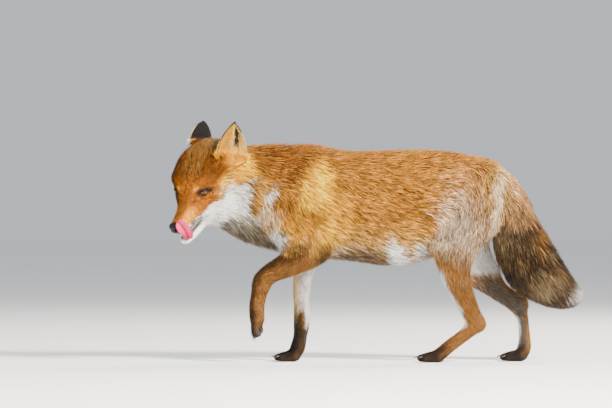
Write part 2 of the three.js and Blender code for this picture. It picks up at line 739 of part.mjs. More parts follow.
const trunkWhole = meshField(fieldOf([trunk, leftForeQuarter, rightForeQuarter, leftThigh, rightThigh]),
  upright, [-118, -102, 132], [130, 102, 400], [25, 22, 22]);
const ribsSolid = largest(cutBy(keepAll(trunkWhole, [ribsFront, flip(bellyFront)]),
  [leftForeLeg, rightForeLeg]));
const bellySolid = largest(keepAll(trunkWhole, [bellyFront, flip(rumpFront)]));

const rearWhole = meshField(fieldOf([trunk, leftThigh, rightThigh, leftShank, rightShank]), upright,
  [40, -98, 112], [252, 98, 402], [22, 21.6, 20.8]);
const thighCut = (s) => [[0, s * 0.9, -0.436], [150, s * 17.3, 205]];
const rumpSolid = largest(keepAll(rearWhole, [rumpFront, flip(thighCut(-1)), flip(thighCut(1))]));
const leftOfMiddle = [[0, -1, 0], [0, -1, 0]];
const leftThighSolid = largest(keepAll(rearWhole,
  [rumpFront, thighCut(-1), flip(leftKneeCut), leftOfMiddle]));
const rightThighSolid = largest(keepAll(rearWhole,
  [rumpFront, thighCut(1), flip(rightKneeCut), [[0, 1, 0], [0, 1, 0]]]));

const tailField = fieldOf([tail]);
const tailWhole = meshField(tailField, alongFrame([204, 0, 338], [318, 0, 96]),
  [-58, -84, -96], [308, 158, 104], [25, 22, 22]);
const tailCuts = [
  [[0.25, 0, -1], [240, -4, 245]],
  [[0.5, 0.1, -0.7], [280, -6, 160]],
  [[0.6, 0.7, 0], [322, 24, 120]],
];
const hindquarters = [rumpSolid, leftThighSolid, rightThighSolid];
const tailRoot = largest(cutBy(keepAll(tailWhole, [flip(tailCuts[0])]), hindquarters));
const tailUpper = largest(cutBy(keepAll(tailWhole, [tailCuts[0], flip(tailCuts[1])]), hindquarters));
const tailLower = keepAll(tailWhole, [tailCuts[1], flip(tailCuts[2])]);
const tailTip = keepAll(tailWhole, [tailCuts[2]]);

// ---------- the named pieces ----------
const colours = {
  coatRed: 0xb5672c,
  coatPale: 0xd8cbb8,
  coatDark: 0x3a2c24,
  eyeAmber: 0xa06a1e,
  noseBlack: 0x1a1718,
  tonguePink: 0xd9748c,
};
const pieces = [
  ['head', headCut, 'coatRed'],
  ['lower_jaw', jawSolid, 'coatPale'],
  ['nose', noseSolid, 'noseBlack'],
  ['tongue', tongueSolid, 'tonguePink'],
  ['eye_left', eyeLeft, 'eyeAmber'],
  ['eye_right', eyeRight, 'eyeAmber'],
  ['ear_left', largest(cutBy(earLeftWhole, [headCut, neckSolid])), 'coatDark'],
  ['ear_right', largest(cutBy(earRightWhole, [headCut, neckSolid])), 'coatDark'],
  ['neck', neckSolid, 'coatRed'],
  ['shoulders', shoulderSolid, 'coatRed'],
  ['ribs', ribsSolid, 'coatRed'],
  ['belly', bellySolid, 'coatRed'],
  ['rump', rumpSolid, 'coatRed'],
  ['left_forearm', leftForearmSolid, 'coatRed'],
  ['left_forepaw', leftPawSolid, 'coatDark'],
  ['right_forearm', rightForearmSolid, 'coatRed'],
  ['right_forepaw', rightPawSolid, 'coatDark'],
  ['left_thigh', leftThighSolid, 'coatRed'],
  ['left_shank', leftShankSolid, 'coatRed'],
  ['left_metatarsus', leftMetatarsusSolid, 'coatRed'],
  ['left_hindpaw', leftHindPawSolid, 'coatDark'],
  ['right_thigh', rightThighSolid, 'coatRed'],
  ['right_shank', rightShankSolid, 'coatRed'],
  ['right_metatarsus', rightMetatarsusSolid, 'coatRed'],
  ['right_hindpaw', rightHindPawSolid, 'coatDark'],
  ['tail_root', tailRoot, 'coatRed'],
  ['tail_upper', tailUpper, 'coatDark'],
  ['tail_lower', tailLower, 'coatDark'],
  ['tail_tip', tailTip, 'coatPale'],
];

const all = new THREE.Box3();
const meshes = pieces.map(([name, solid, colour]) => {
  const mesh = solid.simplify(FLATNESS).getMesh();
  const geometry = new THREE.BufferGeometry();
  const points = new Float32Array((mesh.vertProperties.length / mesh.numProp) * 3);
  for (let i = 0; i < points.length / 3; i += 1) {
    for (let m = 0; m < 3; m += 1) {
      points[i * 3 + m] = mesh.vertProperties[i * mesh.numProp + m];
    }
  }
  geometry.setAttribute('position', new THREE.BufferAttribute(points, 3));
  geometry.setIndex(new THREE.BufferAttribute(Uint32Array.from(mesh.triVerts), 1));
  const material = new THREE.MeshStandardMaterial({ color: colours[colour], roughness: 0.8 });
  material.name = colour;
  const item = new THREE.Mesh(geometry, material);
  item.name = name;
  geometry.computeBoundingBox();
  all.union(geometry.boundingBox);
  return item;
});

// the origin is under the middle of the whole, on the floor
const group = new THREE.Group();
group.name = 'red_fox';
for (const item of meshes) {
  item.geometry.translate(-(all.min.x + all.max.x) / 2, -(all.min.y + all.max.y) / 2, -all.min.z);
  item.geometry.computeVertexNormals();
  group.add(item);
}

export default group;
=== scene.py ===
import bpy
import math
import time
import numpy as np
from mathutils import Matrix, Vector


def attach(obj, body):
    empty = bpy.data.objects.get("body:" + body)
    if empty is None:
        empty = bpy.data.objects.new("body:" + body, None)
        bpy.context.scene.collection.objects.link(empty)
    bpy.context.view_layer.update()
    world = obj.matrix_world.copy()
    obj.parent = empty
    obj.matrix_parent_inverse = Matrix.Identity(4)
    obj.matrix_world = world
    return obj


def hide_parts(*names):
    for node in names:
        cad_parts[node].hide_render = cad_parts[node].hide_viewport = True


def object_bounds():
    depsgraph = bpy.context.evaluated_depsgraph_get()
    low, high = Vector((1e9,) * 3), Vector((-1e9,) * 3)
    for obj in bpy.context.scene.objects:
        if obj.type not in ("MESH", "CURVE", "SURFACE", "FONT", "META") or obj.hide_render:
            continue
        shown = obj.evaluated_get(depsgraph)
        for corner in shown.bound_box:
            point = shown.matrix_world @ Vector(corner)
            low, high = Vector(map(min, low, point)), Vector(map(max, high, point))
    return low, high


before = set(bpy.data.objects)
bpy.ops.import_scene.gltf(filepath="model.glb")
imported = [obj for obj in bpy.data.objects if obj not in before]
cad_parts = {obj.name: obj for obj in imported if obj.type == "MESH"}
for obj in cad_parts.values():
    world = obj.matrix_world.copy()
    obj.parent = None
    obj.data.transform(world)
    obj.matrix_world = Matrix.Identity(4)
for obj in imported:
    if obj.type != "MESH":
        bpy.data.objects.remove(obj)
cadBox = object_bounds()
startTime = time.time()


def report(words):
    # seconds since the start, and what has been done
    print(f"{time.time() - startTime:6.1f} s  {words}")


# Lengths below are in millimetres and become metres when a mesh is made. The fox faces -X,
# its left side is -Y. "place" is where the body sits in the frame.
place = {"shiftX": -1.41, "shiftY": 8.93, "scale": 0.001}
shift = np.array([place["shiftX"], place["shiftY"], 0.0])
times = np.multiply.outer


def unit(a):
    # each row divided by its own length
    return a / np.maximum(np.linalg.norm(a, axis=-1, keepdims=True), 1e-9)


def smooth(a, low, high):
    # 0 at low, 1 at high and past it, an S curve between; it falls where low is above high
    t = np.clip((a - low) / (high - low), 0, 1)
    return t * t * (3 - 2 * t)


def mix(a, b, part):
    # row by row, a where part is 0 and b where it is 1
    return a + (b - a) * part[:, None]


def turns(count):
    # even angles once round
    return np.linspace(0, 2 * math.pi, count, endpoint=False)


# the head's own directions, turned by these degrees
head = {"noseTip": (-356.5, -108.0, 230.5), "pitch": 37.7, "yaw": 56.2, "roll": -2.6}
noseTip = np.array(head["noseTip"])


def headAxes():
    # forward dips by pitch and turns by yaw; left and up are rolled about it
    pitch, yaw, roll = (math.radians(head[k]) for k in ("pitch", "yaw", "roll"))
    cp, sp, cy, sy = math.cos(pitch), math.sin(pitch), math.cos(yaw), math.sin(yaw)
    level, rise = np.array([sy, -cy, 0.0]), np.array([-sp * cy, -sp * sy, cp])
    return (np.array([-cp * cy, -cp * sy, -sp]), level * math.cos(roll) + rise * math.sin(roll),
            rise * math.cos(roll) - level * math.sin(roll))


headForward, headLeft, headUp = headAxes()


def onHead(behind, left, up):
    # nose tip, minus forward times behind, plus left and up
    return noseTip - times(behind, headForward) + times(left, headLeft) + times(up, headUp)


def headPlace(p):
    # distance behind the nose tip, to the left and upward of each point
    d = p - noseTip
    return -(d @ headForward), d @ headLeft, d @ headUp


def limb(stations, blend, coat, side=(0, 1, 0), cap=0.9, pieces=3, flow=1, name=""):
    # a chain with an oval section: a Catmull-Rom curve through stations of x, y, z, half-width
    # and half-height, cut into short straight segments; coat is the depth of fur and the length
    # of hair at even places along it; flow is -1 where the hair lies towards its start
    s = np.array(stations, float)
    ends = np.vstack([s[:1], s, s[-1:]])
    fine = []
    for i in range(len(s) - 1):
        a, b, c, d = ends[i:i + 4]
        for t in np.arange(pieces) / pieces:
            fine.append(0.5 * (2 * b + (c - a) * t + (2 * a - 5 * b + 4 * c - d) * t * t
                               + (3 * b - a - 3 * c + d) * t ** 3))
    fine = np.array(fine + [s[-1]])
    start = fine[:-1, :3]
    step = fine[1:, :3] - start
    length = np.linalg.norm(step, axis=1)
    along = step / length[:, None]
    across = unit(side - along * (along @ np.array(side, float))[:, None])
    middle = fine[len(fine) // 2, :3]
    reach = (np.linalg.norm(fine[:, :3] - middle, axis=1) + fine[:, 3:].max(1)).max()
    share = np.concatenate([[0], np.cumsum(length)]) / length.sum()
    return {"name": name, "start": start, "length": length, "along": along, "across": across,
            "upward": np.cross(along, across), "wide": fine[:, 3], "high": fine[:, 4],
            "cap": cap, "blend": blend, "middle": middle, "reach": reach, "share": share,
            "coat": np.array(coat, float), "flow": flow}


blending = {"sight": 42.0, "soft": 6, "joint": 0.6}      # mm, mm, and a share of the size


def limbDistance(chain, p):
    # oval distance to the nearest segment, with rounded ends: k0 (k0 - 1) / k1, where k0 is the
    # offset over the radii and k1 over their squares; how far along it is, and its way;
    # inner ends are rounded by the same share of their size on every limb
    best = np.full(len(p), 1e9)
    lay = np.zeros((len(p), 3))
    at = np.zeros(len(p))
    last = len(chain["length"]) - 1
    wide, high, share = chain["wide"], chain["high"], chain["share"]
    for i, length in enumerate(chain["length"]):
        d = p - chain["start"][i]
        run = d @ chain["along"][i]
        t = np.clip(run / length, 0, 1)
        w = wide[i] + (wide[i + 1] - wide[i]) * t
        h = high[i] + (high[i + 1] - high[i]) * t
        back, front = (chain["cap"] if i == end else blending["joint"] for end in (0, last))
        c = np.where(t == 0, back, front) * np.minimum(w, h)
        a = (d @ chain["across"][i]) / w
        b = (d @ chain["upward"][i]) / h
        e = (run - t * length) / c
        k0 = np.sqrt(a * a + b * b + e * e)
        k1 = np.sqrt((a / w) ** 2 + (b / h) ** 2 + (e / c) ** 2)
        value = np.where(k1 < 1e-9, -np.minimum(w, h), k0 * (k0 - 1) / np.maximum(k1, 1e-9))
        near = value < best
        best = np.where(near, value, best)
        at = np.where(near, share[i] + (share[i + 1] - share[i]) * t, at)
        lay[near] = chain["along"][i] * chain["flow"]
    return best, at, lay


def survey(chains, p):
    # least distance with a fillet where chains meet; coat and lay are averages weighted by
    # exp(-distance / soft), so they change smoothly from limb to limb
    n = len(p)
    total, nearest, weights = np.full(n, 1e9), np.full(n, 1e9), np.full(n, 1e-12)
    coat, lay = np.zeros((n, 2)), np.zeros((n, 3))
    owner, ownerShare = np.zeros(n, int), np.zeros(n)
    for index, chain in enumerate(chains):
        far = np.linalg.norm(p - chain["middle"], axis=1) - chain["reach"]
        near = np.flatnonzero(far < blending["sight"])
        value = np.maximum(far, blending["sight"])
        if len(near):
            exact, at, flow = limbDistance(chain, p[near])
            value[near] = exact
            w = np.exp(-np.clip(exact, -60, 60) / blending["soft"])
            weights[near] += w
            places = np.linspace(0, 1, len(chain["coat"]))
            for i in range(2):
                coat[near, i] += w * np.interp(at, places, chain["coat"][:, i])
            lay[near] += flow * w[:, None]
            wins = exact < nearest[near]
            mine = near[wins]
            owner[mine], ownerShare[mine], nearest[mine] = index, at[wins], exact[wins]
        k = chain["blend"]
        h = np.maximum(k - np.abs(total - value), 0) / k
        total = np.minimum(total, value) - h * h * k * 0.25
    coat /= weights[:, None]
    return {"distance": total, "depth": coat[:, 0], "hair": coat[:, 1], "lay": lay,
            "owner": owner, "share": ownerShare}


body = {"hipHeight": 304, "hipX": 163, "backHeight": 371, "bellyHeight": 172, "tailRadius": 52,
        "foreStepY": 12, "hindStepY": 32}
# stations: behind, left and up from the nose tip, half-width, half-height
skull = [(14, 0, -5, 13.5, 13), (28, 0, -4.8, 16.2, 16), (44, 0, -4.3, 18.5, 18.8),
         (62, 0, -1.8, 23, 22.3), (80, 0, 2.5, 31, 28.5), (100, 0, 8, 42, 37),
         (118, 0, 11.5, 48, 42.5), (138, 0, 14, 51, 48), (158, 0, 17, 52, 50.5),
         (176, 0, 17, 47, 47)]
# pairs on the head: name, fillet, coat and stations
headPairs = (
    ("cheek", 14, [(1.5, 6), (4, 14), (8, 26), (9, 32)],
     [(74, 18, -14, 10, 13), (96, 32, -16, 13, 20), (124, 45, -16, 16, 27),
      (152, 53, -15, 16, 30), (168, 50, -14, 13, 25)]),
    ("brow", 10, [(1.2, 5), (2, 8)], [(76, 13, 24, 7, 6), (88, 24, 33, 9, 7), (104, 36, 35, 9, 8)]),
    ("temple", 14, [(2, 8), (5, 13)],
     [(104, 27, 37, 12, 12), (124, 30, 42, 14.5, 14.5), (146, 30, 44, 14, 14),
      (164, 26, 42, 12, 12)]),
)


def headLimb(stations, blend, coat, side=headLeft, **more):
    # a limb whose stations are placed on the head
    return limb([(*onHead(*s[:3]), *s[3:]) for s in stations], blend, coat, side=side, **more)


def buildChains():
    # the head first, then neck, trunk and tail with wide fillets, then legs; the jaw's tip last
    middleZ = (body["backHeight"] + body["bellyHeight"]) / 2
    halfZ = (body["backHeight"] - body["bellyHeight"]) / 2
    hipX, hipZ = body["hipX"], body["hipHeight"]
    foreY, hindY, tailRadius = body["foreStepY"], body["hindStepY"], body["tailRadius"]
    chains = [headLimb(skull, 16, [(0.7, 3), (1, 4), (1.3, 5), (2.4, 8), (5, 13), (8, 20)],
                       cap=0.6, name="skull")]
    for name, blend, coat, stations in headPairs:
        for s in (-1, 1):
            chains.append(headLimb([(b, s * l, *rest) for b, l, *rest in stations], blend, coat,
                                   name=name))

    def add(name, blend, coat, *stations, **more):
        # name, fillet in mm, coat, and stations in the body's own millimetres
        chains.append(limb(stations, blend, coat, name=name, **more))

    def addToes(name, root, forward, length, lift, thick, spread):
        # four short chains fanned about a paw, the outer two shorter
        forward = unit(np.array(forward, float))
        across = unit(np.cross(forward, [0, 0, 1]))
        for part in (-1.5, -0.5, 0.5, 1.5):
            reach = length * (0.78 if abs(part) > 1 else 1)
            start = np.array(root, float) + across * part * spread * 0.8
            middle = start + forward * reach * 0.55 + [0, 0, lift[0]]
            tip = start + forward * reach + across * part * spread * 0.25 + [0, 0, lift[1]]
            add(name, 5, [(1.6, 6), (1.2, 4)], [*start, thick, thick],
                [*middle, thick * 0.95, thick * 0.95], [*tip, thick * 0.72, thick * 0.7],
                side=across, pieces=2, cap=1)

    def addThigh(s, x, y, z):
        # from the hip down to the knee at x, y, z
        add("thigh", 28, [(12, 30), (10, 28), (7, 20)], [hipX + 8, s * 26, hipZ + 16, 28, 50],
            [hipX, s * 36, hipZ - 22, 30, 58],
            [(hipX + x) / 2 + 4, s * 44, (hipZ + z) / 2 - 14, 27, 55], [x + 8, y, z - 4, 22, 38])

    chains.append(headLimb([(82, 0, -33, 22, 16.5), (104, 0, -27, 29, 22), (132, 0, -20, 34, 26)],
                           14, [(3, 10), (8, 22)], cap=0.8, name="jawRear"))
    add("neck", 40, [(15, 34), (17, 38), (14, 30), (10, 24)],
        [-118, 0, 295, 56, 79], [-180, -2, 290, 55, 94], [-222, -8, 296.5, 54, 88.5],
        [-254, -14, 305.5, 51, 74.5], [-288, -18, 320, 47, 56], flow=-1)
    add("trunk", 40, [(14, 32), (13, 30), (13, 30), (14, 32)],
        [-150, 0, middleZ + 12, 52, 88], [-110, 0, middleZ + 6, 64, 97],
        [-40, 0, middleZ + 1, 70, halfZ - 1], [30, 0, middleZ - 2.5, 71, halfZ + 4.5],
        [85, 0, middleZ + 6.5, 66, halfZ - 2.5], [140, 0, middleZ + 16, 62, halfZ - 17],
        [184, 0, middleZ + 18, 52, 64], [196, 0, middleZ + 18, 42, 50], cap=0.45)
    add("tail", 30, [(8, 26), (18, 42), (23, 52), (22, 52), (12, 34)],
        [196, 0, 322, 26, 26], [216, 0, 303, 31, 33], [231, -2, 273, 36, 39],
        [239, -4, 240, 40, 46], [252.5, -6, 199, 45, tailRadius + 2.5],
        [274, -6, 161.5, 48, tailRadius + 4], [303, 4, 136, 46, tailRadius - 7],
        [325, 32, 121, 38, 33], [338, 64, 118, 29, 26], [346, 92, 118, 17, 15], cap=1.1)
    for s, shoulder, elbow in ((-1, (-165, 264), (-112, -52, 194)), (1, (-160, 266), (-118, 50, 204))):
        (x, z), (ex, ey, ez) = shoulder, elbow
        add("foreQuarter", 26, [(12, 28), (10, 26), (6, 16)], [x + 52, s * 34, 350, 20, 30],
            [x + 10, s * 46, 300, 24, 38], [x, s * 48, z, 26, 40],
            [(x + ex) / 2, s * 49, (z + ez) / 2 - 6, 24, 38], [ex, ey, ez, 20, 29])
    add("leftForearm", 18, [(6, 18), (4, 12), (3, 9)],
        [-104, -52, 202, 19, 30], [-128, -51, 186, 20, 28], [-163, -46, 168, 17, 23],
        [-196, -42, 151, 14.5, 18], [-205, -41, 134, 14, 16])
    add("leftForePaw", 10, [(3, 9), (2.2, 8), (2, 7)], [-201, -41, 142, 14, 16],
        [-208, -40, 120, 12.5, 15], [-212, -39, 96, 13.5, 14.5], [-211, -38, 76, 17, 14])
    addToes("leftForePaw", (-211, -38, 74), (-0.1, 0.03, -1), 26, (0, 0), 8.5, 9)
    add("rightForearm", 18, [(6, 18), (3.5, 11), (2.5, 8)],
        [-116, 50, 212, 19, 29], [-122, 44, 190, 18, 24], [-131, 34, 157, 16, 19],
        [-134, 24, 118, 14, 16], [-133, 17, 88, 14, 14], [-134, 14, 60, 12.5, 12])
    add("rightForePaw", 10, [(2.2, 8), (2, 7)], [-133, 17, 84, 13, 13],
        [-135, 14, 52, 13, 12.5], [-140, foreY, 26, 16, 14], [-147, foreY, 10.5, 18, 12])
    addToes("rightForePaw", (-148, foreY, 10), (-1, 0, 0), 28, (-1, -2.5), 9.8, 10)
    addThigh(-1, 122, -50, 205)
    add("leftShank", 18, [(8, 22), (5, 16), (3, 11)],
        [128, -50, 204, 22, 40], [132, -49, 172, 20, 33], [138, -45, 141, 17, 26],
        [149, -40, 116, 14, 21.5], [160, -36, 90, 12, 18.5], [171, -33, 68, 12.5, 16])
    add("leftMetatarsus", 8, [(2.5, 9)], [160, -35, 94, 8, 8], [178, -33, 70, 9.5, 10],
        [181, -33, 64, 9, 9])
    add("leftMetatarsus", 10, [(2.5, 9), (2, 7)], [172, -33, 66, 12.5, 14],
        [148, -32, 46, 12, 12.5], [124, -hindY, 28, 13.5, 12.5], [104, -hindY, 11, 17, 12.5])
    addToes("leftHindPaw", (104, -hindY, 10), (-1, 0, 0), 30, (-1, -2.5), 9.8, 9.5)
    addThigh(1, 128, 48, 190)
    add("rightShank", 18, [(8, 22), (5, 15), (3, 10)],
        [136, 47, 199, 21, 46], [161, 46, 177, 19, 44.5], [188, 43, 151, 15, 33],
        [208, 41, 128, 13.5, 21.5], [230, 39, 109, 13, 16.5], [246, 38, 98, 12.5, 15])
    add("rightMetatarsus", 8, [(2.5, 9)], [228, 39, 122, 8, 8], [254, 37, 108, 9, 9.5],
        [258, 37, 100, 9, 10])
    add("rightMetatarsus", 10, [(2.5, 9), (2, 7)],
        [247, 38, 100, 12.5, 14], [255, 36, 76, 11.5, 11.5], [258, 35, 48, 11.5, 11],
        [258, 34, 24, 14, 13], [252, hindY, 10.5, 17, 12])
    addToes("rightHindPaw", (250, hindY, 10), (-1, 0, 0), 29, (-1, -2.5), 9.8, 9.5)
    chains.append(headLimb([(20, 0, -37.5, 9.5, 7.5), (40, 0, -38.5, 13.5, 11), (60, 0, -37, 17.5, 13),
                            (84, 0, -33, 23, 16.5)], 4, [(0.8, 3), (1.4, 5), (3, 9)], cap=0.8,
                           name="jawFront"))
    return chains


foxChains = buildChains()
chainNames = [c["name"] for c in foxChains]
headNames = ("skull", "cheek", "brow", "temple", "jawRear", "jawFront")
headOnly = [c for c in foxChains if c["name"] in headNames[:-1]]
report(f"{len(foxChains)} chains")

# where the eyes sit: each ball's radius, how far it is sunk, and the slit
eyes = {"radius": 10.0, "sunk": 8.5, "halfWide": 8.2, "halfHigh": 2.7, "behind": 84, "aside": 27,
        "above": 21}


def slopeOf(chains, p):
    # central differences of the distance, half a millimetre each way
    return np.stack([survey(chains, p + e)["distance"] - survey(chains, p - e)["distance"]
                     for e in np.eye(3) * 0.5], axis=1)


def eyeFrame(s):
    # walk from a point beside the brow to the outline; sink the ball's middle along the slope
    p = onHead(eyes["behind"], s * eyes["aside"], eyes["above"])[None, :]
    for _ in range(12):
        g = slopeOf(headOnly, p)
        p = p - g * (0.7 * survey(headOnly, p)["distance"] / (g * g).sum(1))[:, None]
    out = unit(slopeOf(headOnly, p))[0]
    slant = -headForward + headLeft * s * 0.55 + headUp * -0.22
    slant = unit(slant - out * (slant @ out))
    over = np.cross(out, slant)
    return {"centre": p[0] - out * eyes["sunk"], "out": out, "slant": slant,
            "over": over if over @ headUp > 0 else -over, "skin": p[0]}


def atEye(f, p):
    # how far along the slit, across it and out of the head each point lies
    d = p - f["skin"]
    return d @ f["slant"], d @ f["over"], d @ f["out"]


eyeFrames = {"left": eyeFrame(1), "right": eyeFrame(-1)}

# grid steps in mm, finer between the places given for x, y and z; newton is the finishing steps
skinPlan = {"bodyStep": 3.5, "coarse": 12.0, "near": 11, "margin": 8, "newton": 2,
            "fine": ((-375, -215, 2.0), (-120, 60, 2.6), (200, 400, 2.5)),
            "socket": (15, 11, 14), "socketDepth": 2.2}


def skinField(p):
    # the outline moved in by the depth of the coat, and sunk round each eye in a bowl that is
    # wider along the slit than across it
    found = survey(foxChains, p)
    sink = np.zeros(len(p))
    for f in eyeFrames.values():
        a, b, c = (d / r for d, r in zip(atEye(f, p), skinPlan["socket"]))
        sink = np.maximum(sink, np.exp(-(a * a + b * b + c * c) * 1.6))
    return found["distance"] + found["depth"] + sink * skinPlan["socketDepth"]


def axisPoints(low, high, fineLow, fineHigh, fineStep):
    # grid lines closer together between fineLow and fineHigh
    points = [low]
    while points[-1] < high:
        at = points[-1]
        points.append(at + (fineStep if fineLow <= at < fineHigh else skinPlan["bodyStep"]))
    return np.array(points)


def blockValues(axes):
    # a coarse look first; only points near the skin are worked out exactly
    step = skinPlan["coarse"]
    rough = [np.arange(a[0], a[-1] + step, step) for a in axes]
    grid = np.stack(np.meshgrid(*rough, indexing="ij"), -1).reshape(-1, 3)
    value = skinField(grid).reshape([len(r) for r in rough])
    for axis in range(3):
        at = np.interp(axes[axis], rough[axis], np.arange(len(rough[axis])))
        lower = np.minimum(at.astype(int), len(rough[axis]) - 2)
        part = (at - lower).reshape([-1 if i == axis else 1 for i in range(3)])
        value = np.take(value, lower, axis) * (1 - part) + np.take(value, lower + 1, axis) * part
    close = np.nonzero(np.abs(value) < skinPlan["near"])
    value[close] = skinField(np.stack([a[i] for a, i in zip(axes, close)], 1))
    return value


def surfaceNet(value, axes, field):
    # one point in each crossed cell, at the mean of its edge crossings, drawn onto the field's
    # zero; a quad across each crossed grid edge
    inside = value < 0
    n = [s - 1 for s in value.shape]
    corners = [(i, j, k) for i in (0, 1) for j in (0, 1) for k in (0, 1)]
    tally = sum(inside[tuple(slice(c[i], c[i] + n[i]) for i in range(3))].astype(np.int8)
                for c in corners)
    cells = np.flatnonzero(((tally > 0) & (tally < 8)).ravel())
    cell = np.unravel_index(cells, n)
    total, count = np.zeros((len(cells), 3)), np.zeros(len(cells))
    for first in corners:
        for axis in range(3):
            if first[axis]:
                continue
            last = [1 if i == axis else first[i] for i in range(3)]
            va, vb = (value[tuple(c + e for c, e in zip(cell, end))] for end in (first, last))
            crossed = (va < 0) != (vb < 0)
            spot = np.repeat(np.array([first], float), len(cells), 0)
            spot[:, axis] = np.where(crossed, va / np.where(crossed, va - vb, 1), 0)
            total += spot * crossed[:, None]
            count += crossed
    total /= count[:, None]
    low = np.stack([a[c] for a, c in zip(axes, cell)], 1)
    size = np.stack([a[c + 1] for a, c in zip(axes, cell)], 1) - low
    points = start = low + size * total
    limit = 0.5 * size.min(1)
    for _ in range(skinPlan["newton"]):
        here = field(points)
        slope = np.stack([field(points + e) - here for e in np.eye(3) * 0.4], 1) / 0.4
        points = points - slope * (0.9 * here / np.maximum((slope ** 2).sum(1), 0.05))[:, None]
        moved = points - start
        far = np.linalg.norm(moved, axis=1)
        points = start + moved * np.minimum(1, limit / np.maximum(far, 1e-9))[:, None]
    number = np.full(n, -1)
    number[cell] = np.arange(len(cells))
    quads = []
    for axis in range(3):
        others = [a for a in range(3) if a != axis]
        lower, upper = [slice(1, -1)] * 3, [slice(1, -1)] * 3
        lower[axis], upper[axis] = slice(0, -1), slice(1, None)
        here = inside[tuple(lower)]
        crossed = here != inside[tuple(upper)]
        at = np.argwhere(crossed)
        ring = []
        for step in ((0, 0), (1, 0), (1, 1), (0, 1)):
            c = at.copy()
            c[:, others] += step
            ring.append(number[tuple(c.T)])
        ring = np.stack(ring, 1)
        turned = here[crossed] == (axis != 1)
        ring[~turned] = ring[~turned][:, ::-1]
        quads.append(ring)
    return points, np.concatenate(quads)


def buildSkin():
    # the zero surface of the skin's field in a block a little larger than the frame's box
    low, high = (np.array(c) / place["scale"] - shift for c in cadBox)
    axes = [axisPoints(low[i] - skinPlan["margin"], high[i] + skinPlan["margin"], *skinPlan["fine"][i])
            for i in range(3)]
    value = blockValues(axes)
    report(f"skin grid {value.shape}")
    return surfaceNet(value, axes, skinField)


def vertexNormals(points, quads):
    # the sum of the cross products of each face's diagonals
    a, b, c, d = (points[quads[:, i]] for i in range(4))
    cross = np.cross(c - a, d - b)
    normals = np.zeros_like(points)
    for i in range(4):
        for k in range(3):
            normals[:, k] += np.bincount(quads[:, i], cross[:, k], len(points))
    return unit(normals)


def halves(quads):
    # two triangles for each quad
    return np.concatenate([quads[:, [0, 1, 2]], quads[:, [0, 2, 3]]])


def addPiece(name, points, faces, tint, material, uv=None):
    # points in millimetres of the fox, faces all of one kind; tint is a colour for each point
    mesh = bpy.data.meshes.new(name)
    mesh.vertices.add(len(points))
    mesh.loops.add(faces.size)
    mesh.polygons.add(len(faces))
    starts = np.arange(len(faces)) * faces.shape[1]
    colours = np.c_[np.clip(tint, 0, 1), np.ones(len(tint))]
    mesh.vertices.foreach_set("co", ((points + shift) * place["scale"]).astype(np.float32).ravel())
    mesh.loops.foreach_set("vertex_index", faces.astype(np.int32).ravel())
    mesh.polygons.foreach_set("loop_start", starts.astype(np.int32))
    mesh.polygons.foreach_set("use_smooth", np.full(len(faces), True))
    layer = mesh.attributes.new("furTint", "FLOAT_COLOR", "POINT")
    layer.data.foreach_set("color", colours.astype(np.float32).ravel())
    if uv is not None:
        layer = mesh.uv_layers.new(name="OFBake")
        layer.uv.foreach_set("vector", uv[faces.ravel()].astype(np.float32).ravel())
    mesh.update(calc_edges=True)
    mesh.validate()
    mesh.materials.append(material)
    piece = bpy.data.objects.new(name, mesh)
    bpy.context.scene.collection.objects.link(piece)
    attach(piece, "root")
    return piece


def addClosed(name, points, tri, tint, material, slotName):
    # all faces are turned over if the solid they close has a negative volume
    a, b, c = (points[tri[:, i]] for i in range(3))
    volume = (a * np.cross(b, c)).sum()
    return addPiece(name, points, tri if volume > 0 else tri[:, ::-1], tint, material)


def gridFaces(rows, columns, closed=True):
    # quads of a grid of points; closed joins the last column to the first
    r = np.arange(rows - 1)[:, None] * columns
    c = np.arange(columns if closed else columns - 1)[None, :]
    n = (c + 1) % columns
    return np.stack([r + c, r + n, r + columns + n, r + columns + c], -1).reshape(-1, 4)


def rimFaces(loop, n):
    # quads that join a closed loop of points to the same loop n points further on
    following = np.roll(loop, -1)
    return np.stack([loop, following, following + n, loop + n], 1)


def closedTube(points, tint, rows, columns):
    # rings of points joined by triangles, with a fan at each end about a new middle point
    ends = []
    for start, way in ((0, -1), ((rows - 1) * columns, 1)):
        ring = np.arange(start, start + columns)
        points = np.vstack([points, points[ring].mean(0)])
        tint = np.vstack([tint, tint[ring].mean(0)])
        hub = np.full(columns, len(points) - 1)
        ends.append(np.stack([ring, np.roll(ring, -1)][::way] + [hub], 1))
    return points, np.concatenate([halves(gridFaces(rows, columns))] + ends), tint


def ball(polar, columns):
    # directions in rings about an axis: the angle off the axis, the turn round it, and x, y, z
    theta, phi = (a.ravel() for a in np.meshgrid(polar, turns(columns), indexing="ij"))
    return theta, phi, np.stack([np.sin(theta) * np.cos(phi), np.sin(theta) * np.sin(phi),
                                 np.cos(theta)], 1)


def waves(p, size, seed, count=7):
    # a gentle noise, mostly between -1 and 1: sines in random directions, about size mm from
    # crest to crest, added up
    rng = np.random.default_rng(seed)
    ways = unit(rng.normal(size=(count, 3))) * (2 * math.pi / size) * rng.uniform(0.6, 1.5, (count, 1))
    phase = rng.uniform(0, 2 * math.pi, count)
    return np.sin(p @ ways.T + phase).sum(1) / math.sqrt(count / 2) / 1.6


